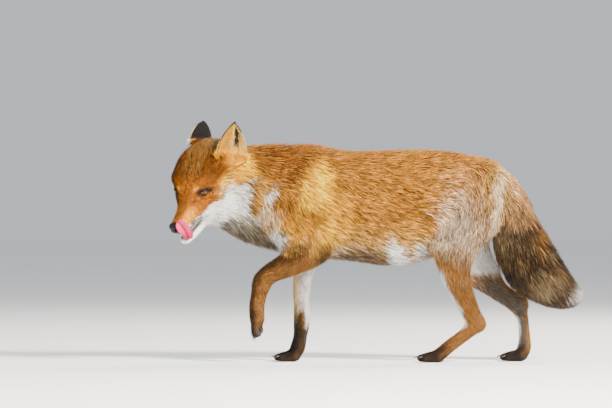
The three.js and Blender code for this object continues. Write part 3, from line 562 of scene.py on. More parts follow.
palette = {
    "rufous": (0.24, 0.093, 0.008), "backRed": (0.185, 0.066, 0.006), "straw": (0.4, 0.215, 0.05),
    "gold": (0.96, 0.45, 0.004), "maneRed": (0.115, 0.034, 0.002), "rumpTan": (0.36, 0.175, 0.072),
    "buff": (0.9, 0.66, 0.38), "white": (0.97, 0.95, 0.9), "greyWhite": (0.4, 0.39, 0.35),
    "face": (0.33, 0.095, 0.002), "crown": (0.12, 0.036, 0.002), "muzzleGold": (0.86, 0.33, 0.004),
    "bridge": (0.2, 0.07, 0.008), "dark": (0.04, 0.022, 0.012), "black": (0.012, 0.01, 0.01),
    "legRed": (0.31, 0.135, 0.032), "legBrown": (0.05, 0.022, 0.007),
    "tailDark": (0.025, 0.0135, 0.0065), "tailTan": (0.108, 0.073, 0.038),
    "tailPale": (0.18, 0.128, 0.068), "tailWhite": (0.75, 0.7, 0.62), "rootTan": (0.57, 0.29, 0.125),
    "rim": (0.97, 0.72, 0.46), "lip": (0.025, 0.018, 0.016), "frost": (0.93, 0.71, 0.5),
    "silver": (0.68, 0.595, 0.476), "amber": (0.86, 0.35, 0.004),
    "shadedThroatGrey": (0.125, 0.118, 0.095), "shadeGrey": (0.115, 0.1, 0.088),
}
palette = {name: np.array(tone) for name, tone in palette.items()}


def plain(colour, count):
    # one colour for every point
    return np.tile(np.array(colour), (count, 1))


def paint(colour, *layers):
    # each layer's named colour covers what is below it by the layer's mask
    for name, mask in layers:
        colour = mix(colour, palette[name], np.clip(mask, 0, 1))
    return colour


def blob(p, centre, radii):
    # 1 at a centre, fading to 0 at its radii; a radius of None leaves that direction out
    total = sum(((p[:, i] - centre[i]) / radii[i]) ** 2 for i in range(3) if radii[i] is not None)
    return 1 - smooth(np.sqrt(total), 0.55, 1.15)


forearms, shanks = ("leftForearm", "rightForearm"), ("leftShank", "rightShank")
torso, chest = ("neck", "trunk", "foreQuarter"), ("trunk", "foreQuarter")
foreNames = (*forearms, "leftForePaw", "rightForePaw")
hindNames = (*shanks, "leftMetatarsus", "rightMetatarsus", "leftHindPaw", "rightHindPaw")


def nameIs(owner, *names):
    # whether each point's limb has one of the names
    return np.array([n in names for n in chainNames])[owner]


def rearPaleAndLitBand(p, ragged):
    # a pale upright line of fur where the thigh meets the tail, brightened by a painted sunlit rim,
    # leaning back as it rises
    x, z = p[:, 0], p[:, 2]
    middle = np.interp(z, [220, 300, 340], [197, 207, 200])
    line = np.exp(-((x - middle + ragged * 0.5) / 6.5) ** 2)
    return line * smooth(z, 214, 244) * smooth(z, 352, 322)


def markings(p, n, owner, share):
    # the coat's colour at a point of the body, from its place, its limb and which way it faces
    x, y, z = p.T
    b, l, u = headPlace(p)
    ragged = waves(p, 26, 11) * 5 + waves(p, 9, 12) * 2.5
    w = waves(p, 14, 13) * 3

    def patch(x, z, wide, high, rough=1.0, at=p):
        # a ragged oval of the side, at a place and of a size fore-aft and up
        return blob(at + ragged[:, None] * rough, (x, 0, z), (wide, None, high))

    outer = 1 - (y > -5) * smooth(-n[:, 1], 0.0, 0.4)
    ruffTop = np.interp(x, [-275, -262, -250, -238], [300, 312, 320, 325])
    ruff = smooth(-x + w, 235, 242) * smooth(z + ragged, 240, 262) * smooth(ruffTop - z + w * 1.5, -6, 6)
    cheekLine = np.exp(-((x + 236 + w * 0.5) / 4.5) ** 2) * smooth(z, 268, 280) * smooth(z, 328, 314)
    throatTop = np.interp(x, [-250, -226, -212, -196], [266, 258, 244, 246])
    throat = smooth(throatTop - z + ragged * 0.8, -8, 8) * smooth(-x, 158, 172)
    breast = blob(np.c_[x - (z - 280) * 0.65 + w * 2, y, z + ragged], (-209, 0, 280), (10, None, 32))
    under = smooth(-n[:, 2] + ragged * 0.02, 0.45, 0.85) * nameIs(owner, *chest, "thigh")
    earBase = blob(np.c_[b, np.abs(l), u] + ragged[:, None] * 0.6, (150, 56, 28), (26, 24, 22))
    c = paint(
        plain(palette["rufous"], len(p)),
        ("backRed", smooth(z + ragged, 335, 368) * 0.75),
        ("straw", smooth(-z + ragged, -268, -205) * 0.75),
        ("rumpTan", smooth(x + ragged * 2, 62, 150) * smooth(z, 352, 318) * 0.8),
        ("silver", patch(136, 240, 50, 56, 1.5) * 0.35),
        ("legRed", patch(138, 180, 42, 30) * 0.85 * outer),
        ("straw", patch(200, 312, 34, 44) * 0.6),
        # pale fur and painted rim light along the back of the thigh
        ("rim", rearPaleAndLitBand(p, ragged) * 0.95),
        # golden fur on the shoulder, brightened by painted sunlight on its ridge
        ("gold", patch(-121, 314, 29, 42) * 0.97),
        ("gold", patch(-92, 258, 34, 50, 1.5) * 0.3),
        ("gold", patch(-104, 234, 18, 26) * 0.45),
        ("maneRed", patch(-176, 352, 60, 46) * 0.85),
        ("amber", patch(-150, 246, 30, 24) * 0.4),
        ("rufous", patch(-212, 326, 16, 26) * 0.8),
        # white cheeks end at a dark line; a grey-white throat under the neck, darkened with painted
        # shade;
        # a white streak of the breast behind a tan strip
        ("straw", patch(-220, 284, 16, 46) * 0.9),
        ("white", ruff * 0.97 * nameIs(owner, *torso)),
        ("maneRed", cheekLine * 0.95),
        ("shadedThroatGrey", throat * 0.95),
        ("buff", patch(-192, 258, 22, 36) * 0.4),
        ("white", breast * 0.9),
        ("white", patch(-184, 227, 20, 19) * 0.9),
        ("legBrown", patch(-140, 203, 26, 13, 0.7) * (y < 0) * 0.8),
        # underside; painted shade under the belly over its darker fur; the white tufts at the flank's
        # fold
        ("greyWhite", under * 0.6),
        # painted shade under the belly, over darker fur
        ("dark", patch(-46, 186, 72, 29, 0.6) * 0.85),
        ("white", patch(16, 188, 15, 42, 0.7, np.c_[x + (z - 195) * 0.25, y, z]) * 0.97),
        ("white", patch(56, 196, 11, 26, 0.7) * 0.75),
        ("amber", earBase * 0.9 * nameIs(owner, "neck")),
    )
    for painter in (paintHead, paintTail, paintLegs):
        c = painter(c, p, n, owner, share, ragged)
    return c


def paintHead(c, p, n, owner, share, ragged):
    # the head's own layers, from the distance behind the nose, to the side and upward, giving
    # way to the neck's colours behind the ears
    b, l, u = headPlace(p)
    rising = n @ headUp
    side, rag = np.abs(l), ragged * 0.45
    q, exact = np.c_[b, side, u], np.c_[b, l, u]
    rough = q + rag[:, None]

    def socket(f):
        # an oval of dark skin round the slit, reaching a little higher as painted shade under the brow
        a, o, out = atEye(f, p)
        bare = smooth(np.hypot((a + 1.5) / 20, (o - 0.5) / 10.5), 0.5, 1.1)
        return (1 - bare) * (np.abs(out) < 14)

    # white of the lips, cheeks and chin, its upper edge rising towards the back of the cheek
    line = np.interp(b, [0, 20, 40, 52, 60, 67, 74, 87, 95, 106, 122, 134, 146],
                     [-9, -9, -10, -12, -12, -6, -2, 2, 3, 6, 10, 10, 5]) - u + rag * 1.3
    under = smooth(-rising, 0.5, 0.9) * smooth(b, 74, 60) * nameIs(owner, "skull", "cheek")
    over = smooth(rising, 0.4, 0.8) * smooth(b, 76, 64) * nameIs(owner, "jawFront")
    h = paint(
        plain(palette["face"], len(p)),
        ("crown", smooth(b + rag, 76, 98) * smooth(u + rag, 25, 38) * 0.9),
        ("crown", blob(rough, (72, 26, 33), (16, 15, 12)) * 0.45),
        ("dark", blob(exact, (164, 22, 58), (22, 12, 18)) * 0.75),
        ("bridge", smooth(-side + rag, -12, -4) * smooth(b, 84, 52) * smooth(u, 4, 11) * 0.7),
        # golden fur on the muzzle's side, with a painted sunlit highlight
        ("muzzleGold", smooth(side, 4, 11) * smooth(-b + rag, -62, -42) * smooth(u, 16, 5) * 0.85),
        ("amber", blob(rough, (156, 50, 30), (34, 32, 24)) * 0.95),
        ("gold", blob(rough, (118, 50, 20), (24, 26, 12)) * 0.55),
        # pale spot over the inner corner of each eye, dark round the eye and at its corner
        ("muzzleGold", blob(q, (74.5, 17.5, 31), (7, 6, 4)) * 0.9),
        *(("black", socket(f) * 0.92) for f in eyeFrames.values()),
        ("dark", blob(q, (64, 16.5, 15), (10, 4.5, 4.5)) * 0.5),
        ("buff", smooth(line + 12, -7, 6) * smooth(b, 82, 106) * 0.6),
        ("white", smooth(line, -2, 3) * 0.97),
        ("dark", blob(q, (49, 18, -14), (8, 7, 4)) * 0.8),
        # a dark fur mark before the far eye, deepened with painted shade on the far side of the face
        ("dark", blob(exact, (74, -22, 14), (20, 10, 14)) * 0.7),
        ("lip", smooth(b, 13, 8) * 0.9),
        ("lip", np.maximum(under, over) * smooth(-u, 12, 16) * 0.95),
    )
    return mix(c, h, nameIs(owner, *headNames) * (1 - smooth(b + ragged, 165, 190)))


# the tail's larger patches: colour, place and size fore-aft and up in mm, strength
tailPatches = (
    ("tailTan", (222, 236), (22, 34), 0.7), ("tailPale", (278, 158), (28, 22), 0.75),
    ("legRed", (267, 243), (12, 38), 0.35), ("black", (197, 252), (14, 30), 0.85),
    ("black", (226, 178), (26, 24), 0.75), ("dark", (302, 208), (14, 48), 0.8),
    ("tailWhite", (338, 140), (21, 28), 0.85),
)


def paintTail(c, p, n, owner, share, ragged):
    # dark with tan clumps, redder and blacker on top, then the patches and the white tip
    s = share + ragged * 0.006
    rear = n[:, 0] * 0.8 + n[:, 2] * 0.5
    t = paint(
        plain(palette["tailDark"], len(p)),
        ("tailTan", smooth(waves(p, 34, 21) + waves(p, 11, 22) * 0.7, 0.05, 0.8) * 0.85),
        ("legRed", smooth(rear + ragged * 0.03, 0.35, 0.8) * smooth(s, 0.45, 0.6)
         * smooth(s, 0.9, 0.75) * 0.5),
        ("tailDark", smooth(rear + ragged * 0.02, 0.6, 0.85) * 0.7),
        ("black", smooth(rear + ragged * 0.02, 0.78, 0.95) * 0.6),
        ("dark", smooth(-n[:, 0] + ragged * 0.03, 0.2, 0.6) * smooth(s, 0.15, 0.3) * 0.85),
        ("black", smooth(s, 0.7, 0.8) * smooth(s, 0.93, 0.86) * 0.35),
        ("greyWhite", smooth(s, 0.86, 0.9) * 0.6),
        ("white", smooth(s, 0.9, 0.94) * 0.9),
        *((name, blob(p + ragged[:, None], (x, 0, z), (wide, None, high)) * most)
          for name, (x, z), (wide, high), most in tailPatches),
        ("rootTan", smooth(s, 0.27, 0.15) * smooth(waves(p, 16, 23), -0.7, 0.2) * 0.8),
        ("rootTan", smooth(s, 0.16, 0.06) * 0.85),
        # pale fur and painted rim light along the back of the thigh
        ("rim", rearPaleAndLitBand(p, ragged) * 0.95),
    )
    return mix(c, t, nameIs(owner, "tail") * 1.0)


def paintLegs(c, p, n, owner, share, ragged):
    # red outer sides, brown fronts, pale inner and rear sides and dark feet; painted shade on the
    # hind legs' inner sides and painted sunlight on the far foreleg's white rear side
    x, y, z = p.T
    nx, ny, nz = n.T
    rag = ragged * 0.02
    fore, hind = nameIs(owner, *foreNames), nameIs(owner, *hindNames)
    rightFore, shank = nameIs(owner, "rightForearm"), nameIs(owner, *shanks)
    front = n @ unit(np.array([-0.9, 0, 0.45]))
    inner = np.where(y > 5, -ny, ny)
    sock = np.where(fore, smooth(-z + ragged, -118, -70), smooth(-z + ragged, -52, -18))
    g = paint(
        plain(palette["legRed"], len(p)),
        ("legBrown", smooth(front + ragged * 0.03, -0.1, 0.5) * fore * 0.85),
        ("white", smooth(inner + rag, 0.25, 0.7) * fore * 0.55),
        # painted shade on the inner side of the hind legs
        ("shadeGrey", smooth(inner, 0.3, 0.7) * hind * 0.9),
        ("white", smooth(inner, 0.3, 0.7) * hind * smooth(z + ragged, 176, 196) * 0.9),
        ("white", smooth(-nx + rag, 0.55, 0.9) * hind * 0.85),
        ("legRed", smooth(nx + nz * 0.4 + rag, 0.25, 0.6) * hind * 0.9),
        ("gold", smooth(-nx + ragged * 0.03, 0.1, 0.6) * rightFore * 0.45),
        # white fur on the far foreleg's rear side, brightened as painted sunlight
        ("white", smooth(nx + ragged * 0.03, 0.1, 0.6) * rightFore * 0.8),
        ("dark", sock * smooth(front, -0.7, 0.3) * 0.9),
        ("black", np.where(fore, smooth(-z + ragged, -84, -50), smooth(z, 30, 8)) * 0.8),
    )
    begin = fore * np.where(nameIs(owner, *forearms), smooth(share, 0, 0.22), 1)
    c = mix(c, g, begin + hind * np.where(shank, smooth(share + ragged * 0.012, 0.2, 0.6), 1))
    # the white front edge of the thighs and shanks, and the far thigh's white inner side
    edge = smooth(-nx + rag, 0.4, 0.75) * smooth(z, 84, 96) * smooth(z, 178, 158) * (x > 60)
    inside = smooth(-ny, 0.2, 0.6) * (y > -5) * smooth(x, 140, 160) * smooth(z, 152, 172)
    edge = np.maximum(edge, inside * smooth(z, 235, 215))
    return paint(c, ("white", edge * (shank | nameIs(owner, "thigh")) * 0.9))


def setSockets(node, values):
    # constant values, by the names of the node's inputs
    for socket, value in values.items():
        node.inputs[socket].default_value = value


def newMaterial(name, values):
    # a material of one shader, with its values set
    material = bpy.data.materials.new(name)
    material.use_nodes = True
    setSockets(material.node_tree.nodes["Principled BSDF"], values)
    return material


def tinted(name, rough, specular, grain=None, bump=None, shade=None):
    # the tint each point carries, over a pattern in object space of the given grain: a fine
    # bump, and where shade is given a soft noise that darkens and lightens between its values
    material = newMaterial(name, {"Roughness": rough, "Specular IOR Level": specular})
    nodes = material.node_tree.nodes
    shader = nodes["Principled BSDF"]

    def node(kind, values, **sources):
        # a node with its values set and its inputs joined to the outputs given
        made = nodes.new("ShaderNode" + kind)
        setSockets(made, values)
        join(made, sources)
        return made

    def join(made, sources):
        # links each output to the input named
        for socket, output in sources.items():
            material.node_tree.links.new(output, made.inputs[socket])

    tint = node("Attribute", {})
    tint.attribute_name = "furTint"
    colour = tint.outputs["Color"]
    if grain:
        values = {"Scale": grain, "Detail": 3.0, "Roughness": 0.6} if shade else {"Scale": grain}
        pattern = node("TexNoise" if shade else "TexVoronoi", values,
                       Vector=node("TexCoord", {}).outputs["Object"])
        height = pattern.outputs["Fac" if shade else "Distance"]
        relief = node("Bump", {"Strength": bump, "Distance": 0.0006 if shade else 0.0004}, Height=height)
        join(shader, {"Normal": relief.outputs["Normal"]})
    if shade:
        level = node("MapRange", {"From Min": 0.3, "From Max": 0.7, "To Min": shade[0],
                                  "To Max": shade[1]}, Value=height)
        mixed = node("Mix", {"Factor": 1.0})
        mixed.data_type, mixed.blend_type = "RGBA", "MULTIPLY"
        join(mixed, {"A": colour, "B": level.outputs["Result"]})
        colour = mixed.outputs["Result"]
    join(shader, {"Base Color": colour})
    return material


# each finish: roughness, specular level, grain, strength of its bump, and its noise's shades
finishes = {
    "furCoat": (0.68, 0.12, 700.0, 0.25, (0.82, 1.15)), "shortFur": (0.8, 0.15, 1400.0, 0.8, (0.45, 1.1)),
    "wetEye": (0.07, 0.28), "darkSkin": (0.55, 0.12, 1900.0, 0.5), "noseSkin": (0.38, 0.2, 1100.0, 0.9),
    "wetTongue": (0.3, 0.25, 1500.0, 0.5), "hornClaw": (0.35, 0.5, 900.0, 0.3),
}
furCoat, shortFur, wetEye, darkSkin, noseSkin, wetTongue, hornClaw = (
    tinted(name, *finish) for name, finish in finishes.items())
setSockets(wetTongue.node_tree.nodes["Principled BSDF"],
           {"Subsurface Weight": 0.15, "Subsurface Scale": 0.004})

skinPoints, skinQuads = buildSkin()
skinNormals = vertexNormals(skinPoints, skinQuads)
skinFound = survey(foxChains, skinPoints)
skinTint = markings(skinPoints, skinNormals, skinFound["owner"], skinFound["share"])
report(f"skin {len(skinPoints)} points")
# the skin is darkened under the coat: painted shade between the tufts, less where the colour is pale
skin = addPiece("skin", skinPoints, skinQuads, skinTint * (0.6 + 0.4 * skinTint.mean(1, keepdims=True)),
                shortFur)
fleshNodes = [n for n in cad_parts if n.split("_")[0] not in ("eye", "ear", "nose", "tongue")]
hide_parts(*fleshNodes)

coatPlan = {
    "baseArea": 0.55, "areaPerLength": 0.082,      # mm2 of skin for each tuft
    "baseWidth": 0.42, "widthPerLength": 0.036,    # mm
    "legSpread": 1.25, "tailSpread": 0.55,         # more or less skin for each
    "thickness": 0.34, "sunk": 0.8, "patch": 0.003, "seed": 5,
    "length": (0.72, 1.2), "lift": (0.55, 1.0), "width": (0.75, 1.25),    # share, least and most
    "turn": 0.13, "swirl": 0.16, "strays": 0.03, "strayLift": 1.12,
    "middleRun": 0.47, "middleLift": 0.62, "middleLevel": 0.6,    # where the middle lies
    "outside": 1.5, "tailInside": 3.5, "floor": 0.6,              # mm
    # root and paleRoot: painted shade under the coat over a darker undercoat, less on pale fur
    "root": 0.22, "paleRoot": 0.52, "middle": 0.76, "tip": 1.36,  # shade along a tuft
}
# how far hair is turned down, by limb
droop = {"flank": 0.38, "thigh": 0.55, "tail": 0.25, "cheek": 0.4, "cheekAside": 0.125}
# the bare places: round each slit, and the box of the nose pad behind, beside and below its tip
bare = {"slitMargin": 1.8, "slitDepth": 14, "noseBehind": 13, "noseSide": 12, "noseLow": -9}
straightCoats = ("coatMuzzle", "coatCrown", "coatForeLeft", "coatForeRight", "coatHindLeft",
                 "coatHindRight", "coatLips")


def regionOf(p, owner, share):
    # the name of the coat piece that each root belongs to; a later one takes over an earlier
    x, y, z = p.T
    b, l, u = headPlace(p)
    skull = nameIs(owner, *headNames)
    thigh, tail = nameIs(owner, "thigh"), nameIs(owner, "tail")
    name = np.full(len(p), "coatRump", dtype=object)
    fore, hind = ([nameIs(owner, *names[i::2]) for i in (0, 1)] for names in (foreNames, hindNames))
    for tag, there in (
            ("Flank", x < 82), ("Ribs", x < 10), ("ShoulderLeft", (x < -70) & (y < 0)),
            ("ShoulderRight", (x < -70) & (y >= 0)), ("Neck", nameIs(owner, "neck")),
            ("CheekLeft", skull & (l > 0)), ("CheekRight", skull & (l <= 0)),
            ("Crown", skull & (u > 22) & (b > 60)), ("Muzzle", skull & (b < 78)),
            ("ForeLeft", fore[0]), ("ForeRight", fore[1]), ("HindLeft", hind[0]), ("HindRight", hind[1]),
            ("ThighLeft", thigh & (y < 0)), ("ThighRight", thigh & (y >= 0)),
            ("TailUpper", tail), ("TailLower", tail & (share > 0.5))):
        name[there] = "coat" + tag
    return name


def scatter(points, quads, area, seed):
    # roots spread evenly: the running sum of expected tufts crosses a whole number at each root
    rng = np.random.default_rng(seed)
    tri = halves(quads).reshape(2, -1, 3).transpose(1, 0, 2).reshape(-1, 3)
    a, b, c = (points[tri[:, i]] for i in range(3))
    expected = np.linalg.norm(np.cross(b - a, c - a), axis=1) / 2 / area[tri].mean(1)
    running = np.floor(np.concatenate([[0], np.cumsum(expected)]))
    chosen = np.repeat(np.arange(len(tri)), np.diff(running).astype(int))
    a, b = rng.random((2, len(chosen)))
    over = a + b > 1
    a[over], b[over] = 1 - a[over], 1 - b[over]
    return tri[chosen], np.stack([1 - a - b, a, b], 1)


def layOf(p, n, owner, lay):
    # hair follows the limb, turned down on the flanks and thighs, with slow swirls
    x, y, z = p.T
    level = smooth(z, 262, 318) * smooth(-x, 30, 70) * smooth(x, -215, -180)
    way = unit(mix(unit(lay), np.array([1.0, 0, -0.22]), level))
    flat = nameIs(owner, *chest) * smooth(np.abs(n[:, 1]), 0.2, 0.9)
    pull = (droop["flank"] * flat + droop["thigh"] * nameIs(owner, "thigh", "neck")
            + droop["tail"] * nameIs(owner, "tail"))
    way = way + times(pull, np.array([0, 0, -1.0]))
    aside = np.sign(headPlace(p)[1])
    cheek = nameIs(owner, "cheek", "jawRear")[:, None]
    way = way + (times(aside, headLeft) * droop["cheekAside"] - headUp * droop["cheek"]) * cheek
    way = way + np.stack([waves(p, 34, 31 + i) for i in range(3)], 1) * coatPlan["swirl"]
    return unit(way - n * (way * n).sum(1)[:, None])


def gridPlaces(p, count):
    # each root's own place on an unwrap: sorted along the body into columns, then round it
    columns = int(math.ceil(math.sqrt(count)))
    column = np.empty(count, int)
    column[np.argsort(p[:, 0], kind="stable")] = np.arange(count) * columns // count
    both = np.lexsort((p[:, 1], column))
    row = np.empty(count)
    row[both] = np.arange(count) - np.searchsorted(column[both], np.arange(columns))[column[both]]
    return np.stack([(column + 0.3) / columns, (row + 0.3) / (row.max() + 1)], 1)


def unwrapOf(p, owner, share):
    # along its limb and round it: the skin laid flat as a roll is
    around = np.zeros(len(p))
    for index, chain in enumerate(foxChains):
        mine = np.flatnonzero(owner == index)
        seg = (np.clip(share[mine], 0, 1) * (len(chain["length"]) - 0.001)).astype(int)
        d = p[mine] - chain["start"][seg]
        around[mine] = np.arctan2((d * chain["upward"][seg]).sum(1), (d * chain["across"][seg]).sum(1))
    return np.stack([owner * 10.0 + share, around], 1)


def bareMask(root):
    # no tufts on the eyes' openings or the nose pad
    b, l, u = headPlace(root)
    keep = (b >= bare["noseBehind"]) | (np.abs(l) >= bare["noseSide"]) | (u <= bare["noseLow"])
    for f in eyeFrames.values():
        a, o, out = atEye(f, root)
        wide, high = (eyes[k] + bare["slitMargin"] for k in ("halfWide", "halfHigh"))
        keep &= ((a / wide) ** 2 + (o / high) ** 2 >= 1) | (np.abs(out) >= bare["slitDepth"])
    return keep


def buildCoat():
    # each tuft's root, middle and tip: the root is on the skin, the middle and tip lie along the
    # hair's way at a share of the coat's depth
    rng = np.random.default_rng(coatPlan["seed"])
    found = skinFound
    area = (coatPlan["baseArea"] + coatPlan["areaPerLength"] * found["hair"])
    area *= np.where(nameIs(found["owner"], *foreNames, *hindNames), coatPlan["legSpread"], 1)
    area *= np.where(nameIs(found["owner"], "tail"), coatPlan["tailSpread"], 1)
    tri, share = scatter(skinPoints, skinQuads, area, coatPlan["seed"])

    def atRoots(values):
        # values of a triangle's corners, mixed at each root
        part = values[tri]
        return (part * share.reshape(share.shape + (1,) * (part.ndim - 2))).sum(1)

    values = [atRoots(v) for v in (skinPoints, skinNormals, found["lay"], found["hair"], found["depth"])]
    values += [found["owner"][tri[:, 0]], found["share"][tri[:, 0]]]
    keep = bareMask(values[0])
    root, normal, lay, length, depth, owner, along = (v[keep] for v in values)
    normal = unit(normal)
    count = len(root)
    report(f"{count} tufts")
    tail = nameIs(owner, "tail")
    way = layOf(root, normal, owner, lay)
    length = length * rng.uniform(*coatPlan["length"], count)
    tipEnd = blob(root, (346, 0, 122), (24, None, 34)) * tail
    length = length * (1 - 0.2 * tipEnd)
    lift = rng.uniform(*coatPlan["lift"], count)
    onTop = nameIs(owner, *torso) & (normal[:, 2] > 0.3)
    lift = np.where(onTop, 0.5 + 0.58 * lift, lift)
    lift[rng.random(count) < coatPlan["strays"]] *= coatPlan["strayLift"]
    height = depth * lift
    width = coatPlan["baseWidth"] + coatPlan["widthPerLength"] * length
    width *= rng.uniform(*coatPlan["width"], count)
    side = np.cross(normal, way)
    way = unit(way + side * rng.normal(0, coatPlan["turn"], count)[:, None])
    run = np.sqrt(np.maximum(length ** 2 - height ** 2, 0.5))
    middle = (root + way * (coatPlan["middleRun"] * run)[:, None]
              + normal * (coatPlan["middleLift"] * height)[:, None])
    tip = root + way * run[:, None] + normal * height[:, None]
    tip += side * (waves(root, 12, 41) * 0.10 * length)[:, None]
    # both are moved along the slope to their own height under the outline
    middleLevel = depth * (coatPlan["middleLevel"] * lift - 1)
    for spot, level in ((middle, middleLevel), (tip, depth * (lift - 1))):
        for _ in range(2):
            here = survey(foxChains, spot)["distance"]
            spot += normal * (np.clip(level - here, -12, 12) * 0.9)[:, None]
    # a tip past the outline is drawn back towards its middle, and none goes under the floor
    inside = coatPlan["tailInside"] * tail - 2 * tipEnd - coatPlan["outside"]
    for _ in range(3):
        past = np.maximum(survey(foxChains, tip)["distance"] + inside, 0)
        reach = np.linalg.norm(tip - middle, axis=1)
        tip = middle + (tip - middle) * (1 - np.clip(past / reach, 0, 0.5))[:, None]
    for spot in (middle, tip):
        spot[:, 2] = np.maximum(spot[:, 2], coatPlan["floor"])
    report("tufts laid")
    tint, tipTint = fleck(markings(root, normal, owner, along), root, owner, rng)
    flat = unwrapOf(root, owner, along)
    names = regionOf(root, owner, along)
    for name in sorted(set(names)):
        mine = names == name
        writeTufts(name, *(v[mine] for v in (root, middle, tip, normal, width, tint, tipTint, flat)))
    report("coat made")


# shares of hairs that differ, in long fur and elsewhere
flecks = {"spread": 0.3, "dark": (0.15, 0.07), "pale": (0.2, 0.05), "darkTip": (0.2, 0.05),
          "bright": 0.12, "golden": 0.33, "lean": 0.37, "brown": 0.3}


def fleck(tint, root, owner, rng):
    # single hairs darker or paler than their neighbours, some of them dark-tipped
    count = len(root)
    straw = palette["straw"]
    longFur = nameIs(owner, *torso, "thigh", "tail", "skull")

    def oneIn(furred, other):
        # a random choice of hairs, of a larger share where the fur is long
        return rng.random(count) < np.where(longFur, furred, other)

    x, y, z = root.T
    lying = np.where(nameIs(owner, *torso, "thigh"), flecks["lean"], 1.0)
    rest = 1 - lying * 0.2
    stretched = np.stack([(x * rest - z * lying) / 2.2, y, x * lying + z * rest], 1)
    streak = waves(stretched, 5.0, 51, 11) * 0.75 + waves(stretched, 9.0, 52, 9) * 0.5
    shade = rng.lognormal(0, flecks["spread"], count)
    shade *= np.exp(streak * np.where(longFur, 0.60, 0.25) - 0.08)
    b, l, u = headPlace(root)
    crown = nameIs(owner, "skull") * smooth(b, 80, 110) * smooth(u, 22, 38)
    shade *= np.exp(waves(root, 4.5, 53, 11) * 0.55 * crown)
    isDark = oneIn(*flecks["dark"])
    shade[isDark] *= rng.uniform(0.3, 0.6, isDark.sum())
    isPale = oneIn(*flecks["pale"])
    tint = tint * shade[:, None]
    tint[isPale] = tint[isPale] * 1.15 + straw * 0.18
    tip = tint * (coatPlan["tip"] * rng.uniform(0.85, 1.2, (count, 1)))
    tip[oneIn(*flecks["darkTip"])] *= 0.35
    bright = rng.random(count) < flecks["bright"] * nameIs(owner, *torso)
    tip[bright] = tip[bright] * 0.6 + straw * rng.uniform(0.8, 1.5, (bright.sum(), 1))
    golden = rng.random(count) < crown * flecks["golden"]
    tip[golden] = straw * rng.uniform(0.9, 1.5, (golden.sum(), 1))
    # behind the ribs many hairs are brown below and frosted at the tip
    hindPart = blob(root + waves(root, 40, 54)[:, None] * 12, (140, 0, 248), (74, None, 74))
    clumps = 0.42 + 0.4 * waves(stretched, 6.0, 55, 11)
    frosted = rng.random(count) < hindPart * nameIs(owner, "trunk", "thigh", *shanks) * clumps
    brown = 1 - (hindPart * ~frosted)[:, None] * flecks["brown"]
    tint, tip = tint * brown, tip * brown
    tip[frosted] = tip[frosted] * 0.3 + palette["frost"] * rng.uniform(0.6, 1.05, (frosted.sum(), 1))
    return np.clip(tint, 0, 0.95), np.clip(tip, 0, 0.97)


def writeTufts(name, root, middle, tip, normal, width, tint, tipTint, flat):
    # a ring of three points sunk in the skin, another ring half way unless straight, and a tip
    count = len(root)
    tint, tipTint = np.clip(tint, 0, 1), np.clip(tipTint, 0, 1)
    way = unit(tip - root)
    across = unit(np.cross(way, normal))
    top = unit(np.cross(across, way)) * (width * coatPlan["thickness"])[:, None]
    half = across * (width / 2)[:, None]
    sunk = root - normal * coatPlan["sunk"]
    # the root rings are darkened: painted shade under the coat over a darker undercoat
    rootShadeAndUndercoat = coatPlan["root"] + coatPlan["paleRoot"] * tint.mean(1, keepdims=True)
    points, shades = [sunk - half, sunk + half, sunk + top], [tint * rootShadeAndUndercoat] * 3
    patch = [[0, 0], [1, 0], [0.5, 0]]
    pattern = [[1, 0, 2], [0, 1, 3], [1, 2, 3], [2, 0, 3]]
    if name not in straightCoats:
        points += [middle - half, middle + half, middle + top]
        shades += [tint * coatPlan["middle"]] * 3
        patch += [[0, 0.5], [1, 0.5], [0.5, 0.5]]
        pattern = [[0, 2, 1], [0, 1, 4], [0, 4, 3], [1, 2, 5], [1, 5, 4], [2, 0, 3], [2, 3, 5],
                   [3, 4, 6], [4, 5, 6], [5, 3, 6]]
    patch = np.array(patch + [[0.5, 1]]) * coatPlan["patch"]
    faces = (np.arange(count) * len(patch))[:, None, None] + np.array(pattern)
    uv = gridPlaces(flat, count)[:, None, :] + patch
    addPiece(name, np.stack(points + [tip], 1).reshape(-1, 3), faces.reshape(-1, 3),
             np.stack(shades + [tipTint], 1).reshape(-1, 3), furCoat,
             uv.reshape(-1, 2))
    print(f"    {name}: {count} tufts, {count * len(pattern)} triangles")


buildCoat()

eyeLook = {"iris": (0.17, 0.052, 0.002), "irisRim": (0.02, 0.006, 0.001), "pupil": (0.003, 0.002, 0.002),
           "white": (0.03, 0.018, 0.012), "irisAngle": 0.62, "pupilWide": 0.13, "pupilHigh": 0.36,
           "bulge": 0.05, "bulgeAngle": 0.5, "columns": 64}


